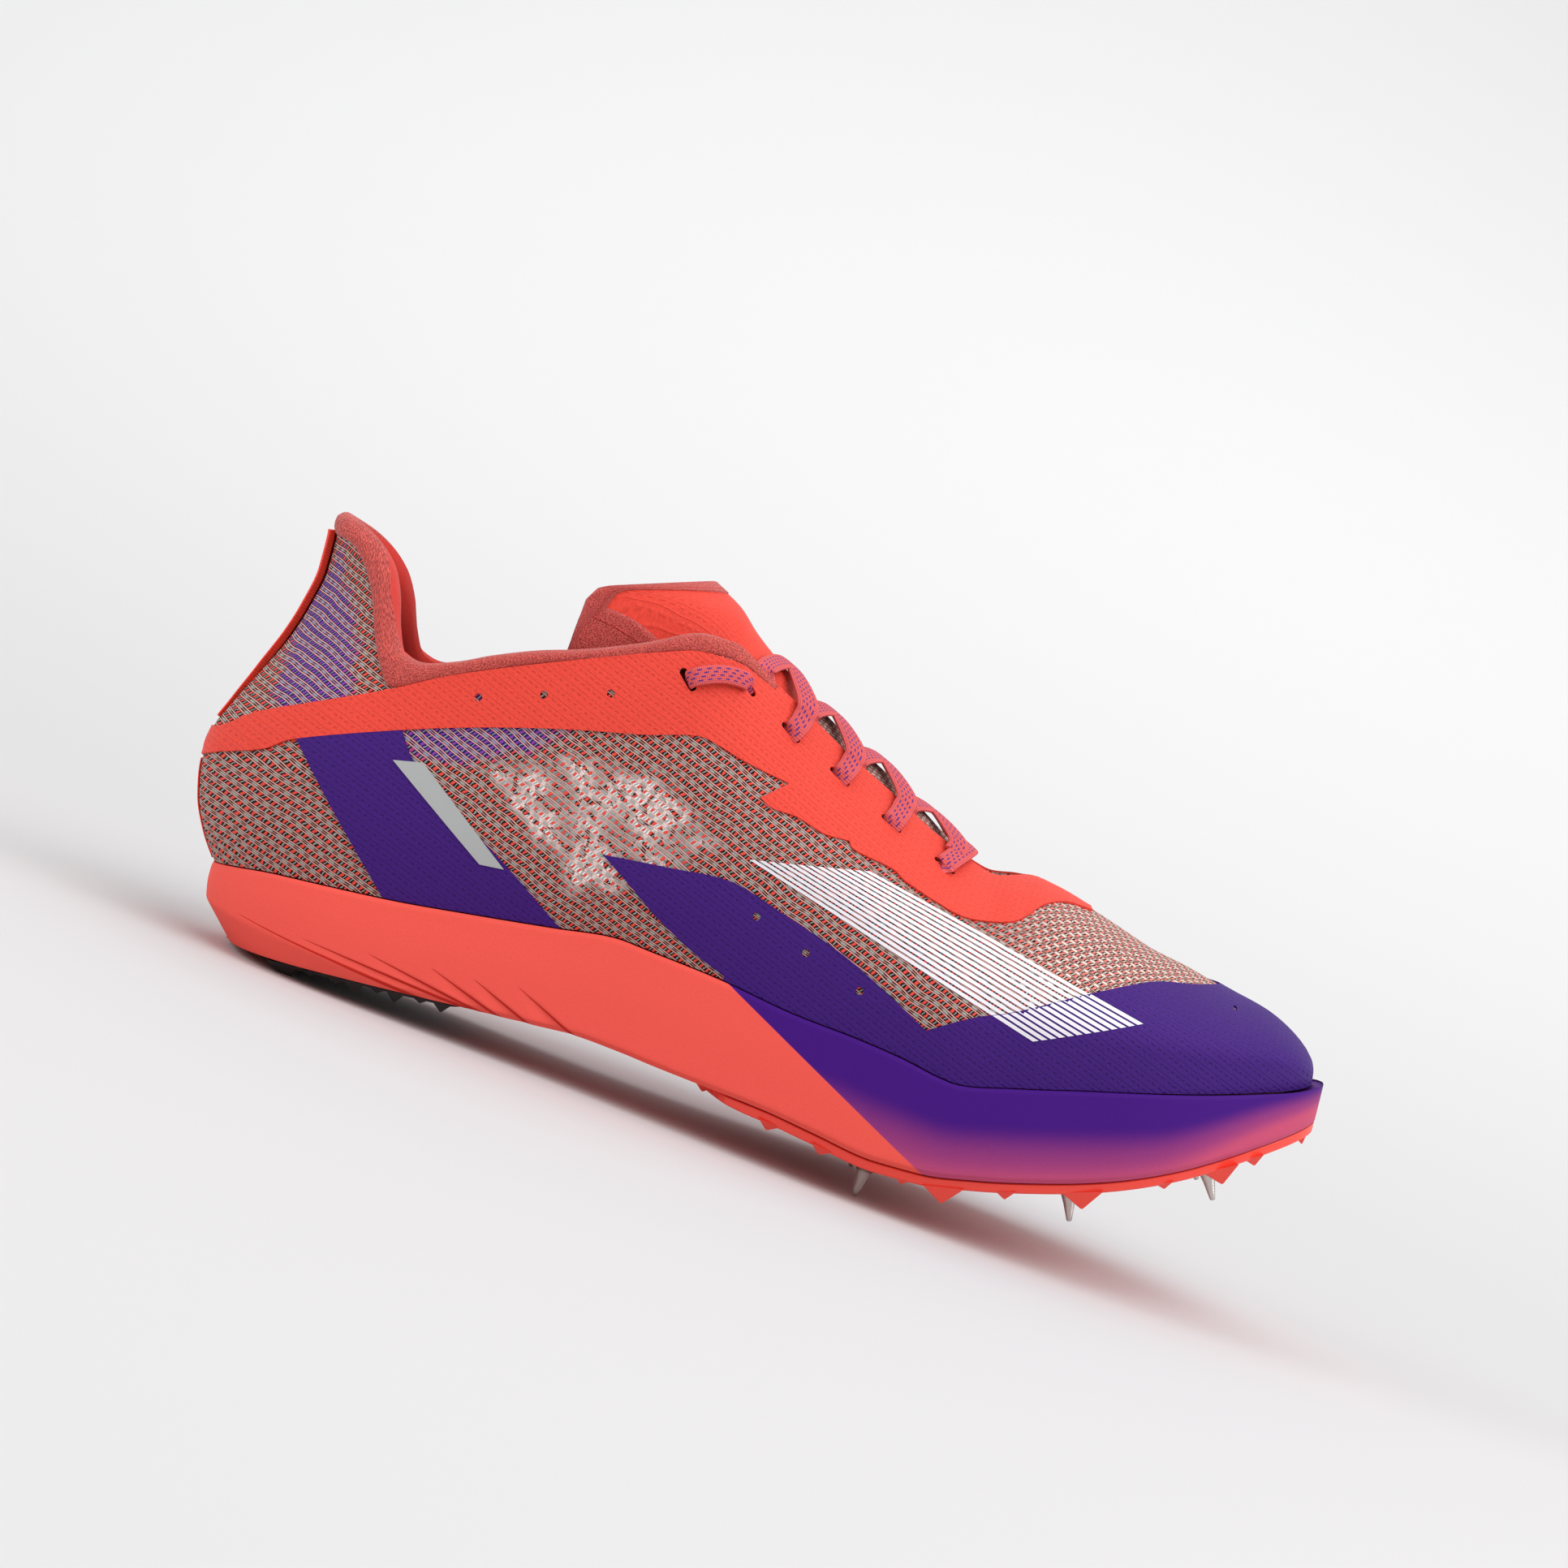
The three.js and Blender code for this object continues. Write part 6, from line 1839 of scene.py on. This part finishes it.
class ShoeColours(bpy.types.PropertyGroup):
    """Colours of the shoe's materials."""
    coral: colour_property("Coral", "Foam of the heel", 242, 91, 80)
    purple_foam: colour_property("Purple foam", "Foam of the forefoot", 66, 18, 122)
    foam_fade: colour_property("Foam fade", "Foam of the forefoot, half way down", 150, 58, 120)
    foam_edge: colour_property("Foam edge", "Foam of the forefoot, at its lower edge", 196, 78, 112)
    plate: colour_property("Plate", "Moulded plate and its lugs", 240, 66, 50)
    # painted shade in the creases of the foam
    crease_shade: colour_property("Crease", "Shaded creases of the foam", 196, 40, 30)
    rubber: colour_property("Rubber", "Heel pad", 50, 46, 46)
    steel: colour_property("Steel", "Pins", 205, 200, 196)
    film_orange: colour_property("Orange film", "Band round the collar and the throat", 242, 70, 52)
    # painted shade in the pressed grooves of the orange film, and the colour of its random mottle
    orange_mottle_and_groove_shade: colour_property("Orange groove", "Pressed rows and mottle of the orange film", 176, 34, 26)
    film_purple: colour_property("Purple film", "Panels of the forefoot and the heel", 68, 26, 124)
    # painted shade in the pressed grooves of the purple film, and the colour of its random mottle
    purple_mottle_and_groove_shade: colour_property("Purple groove", "Pressed rows and mottle of the purple film", 30, 12, 74)
    reflective: colour_property("Reflective", "Bar on the heel panel", 172, 174, 174)
    print_white: colour_property("Print", "Pinstripes on the forefoot", 226, 222, 229)
    yarn_grey: colour_property("Grey yarn", "Floats of the knit", 158, 160, 154)
    yarn_red: colour_property("Red yarn", "Rungs of the knit", 232, 76, 64)
    yarn_pink: colour_property("Pink yarn", "Straight yarns of the knit", 244, 176, 164)
    yarn_pale: colour_property("Pale yarn", "Floats of the knit at the toe and on the tongue", 240, 232, 222)
    # painted shade of the inside, seen through the gaps of the knit
    knit_gap_shade: colour_property("Gaps", "What shows through the knit", 26, 8, 8)
    pale_rung: colour_property("Pale rungs", "Rungs of the knit at the toe", 240, 150, 138)
    tongue_rung: colour_property("Tongue rungs", "Rungs of the knit on the tongue", 222, 120, 108)
    # painted light seen through the holes of the side patch
    light_through_holes: colour_property("Sparkle", "White ground of the side patch", 246, 246, 244)
    # floats of the side patch, lightened as painted light from behind
    backlit_float: colour_property("Sparkle floats", "Floats of the side patch", 200, 200, 196)
    # violet beneath the knit, darkened as painted shade in the gaps
    violet_gap_shade: colour_property("Violet gaps", "Gaps of the violet patches", 36, 20, 88)
    violet_rung: colour_property("Violet rungs", "Rungs of the violet patches", 98, 58, 178)
    violet_float: colour_property("Violet floats", "Floats of the violet patches", 120, 110, 200)
    lining: colour_property("Lining", "Collar lining and its roll", 222, 90, 80)
    lining_inside: colour_property("Lining inside", "Collar lining towards the foot", 206, 44, 32)
    # painted shade between the fibres of the brushed fabrics, and the colour of their random mottle
    nap_shade_and_mottle: colour_property("Nap roots", "Between the fibres of the brushed fabrics", 132, 30, 28)
    tongue_edge: colour_property("Tongue edge", "Brushed margin of the tongue", 226, 92, 84)
    insole: colour_property("Insole", "Top of the bed", 170, 48, 42)
    lace: colour_property("Lace", "Flat braid", 236, 98, 98)
    lace_shadow: colour_property("Lace shadow", "Between the strands of the braid", 196, 66, 74)
    lace_fleck: colour_property("Lace flecks", "Flecks woven into the braid", 84, 40, 130)
    paper: colour_property("Paper", "Backdrop", 240, 240, 241)
    floor: colour_property("Floor", "Floor under the shoe", 204, 203, 204)


def length_property(name, description, value):
    return bpy.props.FloatProperty(
        name=name, description=description, default=value, min=0.1, max=20, unit="NONE")


class ShoeSizes(bpy.types.PropertyGroup):
    """Sizes of the soft trims, in millimetres."""
    lace_width: length_property("Lace width", "Width of the flat lace in millimetres", 5.6)
    lace_thickness: length_property("Lace thickness", "Thickness of the flat lace in millimetres", 1.2)


def settings():
    scene = bpy.context.scene
    return scene.shoe_colours, scene.shoe_sizes


class SHOE_OT_sole(bpy.types.Operator):
    """Build the midsole, the forefoot plate, the heel rubber and the pins"""
    bl_idname = "shoe.sole"
    bl_label = "Sole and pins"

    def execute(self, context):
        colours, _ = settings()
        make_midsole(colours)
        make_plate(colours)
        make_rubber(colours)
        make_pins(colours)
        return {"FINISHED"}


class SHOE_OT_upper(bpy.types.Operator):
    """Build the knit upper, its collar lining and the insole"""
    bl_idname = "shoe.upper"
    bl_label = "Upper, lining and insole"

    def execute(self, context):
        colours, _ = settings()
        make_upper(colours)
        make_lining(colours)
        make_insole(colours)
        return {"FINISHED"}


class SHOE_OT_films(bpy.types.Operator):
    """Build the bonded films, the reflective bars and the pinstripes"""
    bl_idname = "shoe.films"
    bl_label = "Films and print"

    def execute(self, context):
        colours, _ = settings()
        make_films(colours)
        make_reflectors(colours)
        make_stripes(colours)
        return {"FINISHED"}


class SHOE_OT_heel_tape(bpy.types.Operator):
    """Build the webbing up the centre back of the heel"""
    bl_idname = "shoe.heel_tape"
    bl_label = "Heel tape"

    def execute(self, context):
        make_heel_tape(settings()[0])
        return {"FINISHED"}


class SHOE_OT_tongue(bpy.types.Operator):
    """Build the tongue, its film panel and its brushed margin"""
    bl_idname = "shoe.tongue"
    bl_label = "Tongue"

    def execute(self, context):
        make_tongue(settings()[0])
        return {"FINISHED"}


class SHOE_OT_laces(bpy.types.Operator):
    """Build the lace, through the eyelet slots and over the tongue"""
    bl_idname = "shoe.laces"
    bl_label = "Laces"

    def execute(self, context):
        make_laces(*settings())
        return {"FINISHED"}


class SHOE_OT_stage(bpy.types.Operator):
    """Set up the floor, the studio light and the camera"""
    bl_idname = "shoe.stage"
    bl_label = "Stage"

    def execute(self, context):
        make_stage(settings()[0])
        return {"FINISHED"}


OPERATORS = (
    SHOE_OT_stage, SHOE_OT_sole, SHOE_OT_upper, SHOE_OT_films, SHOE_OT_heel_tape, SHOE_OT_tongue,
    SHOE_OT_laces,
)


class SHOE_PT_panel(bpy.types.Panel):
    """Lists the shoe's operators and settings"""
    bl_idname = "SHOE_PT_panel"
    bl_label = "Running shoe"
    bl_space_type = "VIEW_3D"
    bl_region_type = "UI"
    bl_category = "Shoe"

    def draw(self, context):
        for operator in OPERATORS:
            self.layout.operator(operator.bl_idname)
        for group in settings():
            box = self.layout.box()
            for key in group.__annotations__:
                box.prop(group, key)


CLASSES = (ShoeColours, ShoeSizes, *OPERATORS, SHOE_PT_panel)


def register():
    for item in CLASSES:
        bpy.utils.register_class(item)
    bpy.types.Scene.shoe_colours = bpy.props.PointerProperty(type=ShoeColours)
    bpy.types.Scene.shoe_sizes = bpy.props.PointerProperty(type=ShoeSizes)


def unregister():
    del bpy.types.Scene.shoe_sizes
    del bpy.types.Scene.shoe_colours
    for item in reversed(CLASSES):
        bpy.utils.unregister_class(item)


def main():
    register()
    for operator in OPERATORS:
        group, name = operator.bl_idname.split(".")
        getattr(getattr(bpy.ops, group), name)()


if __name__ == "__main__":
    main()
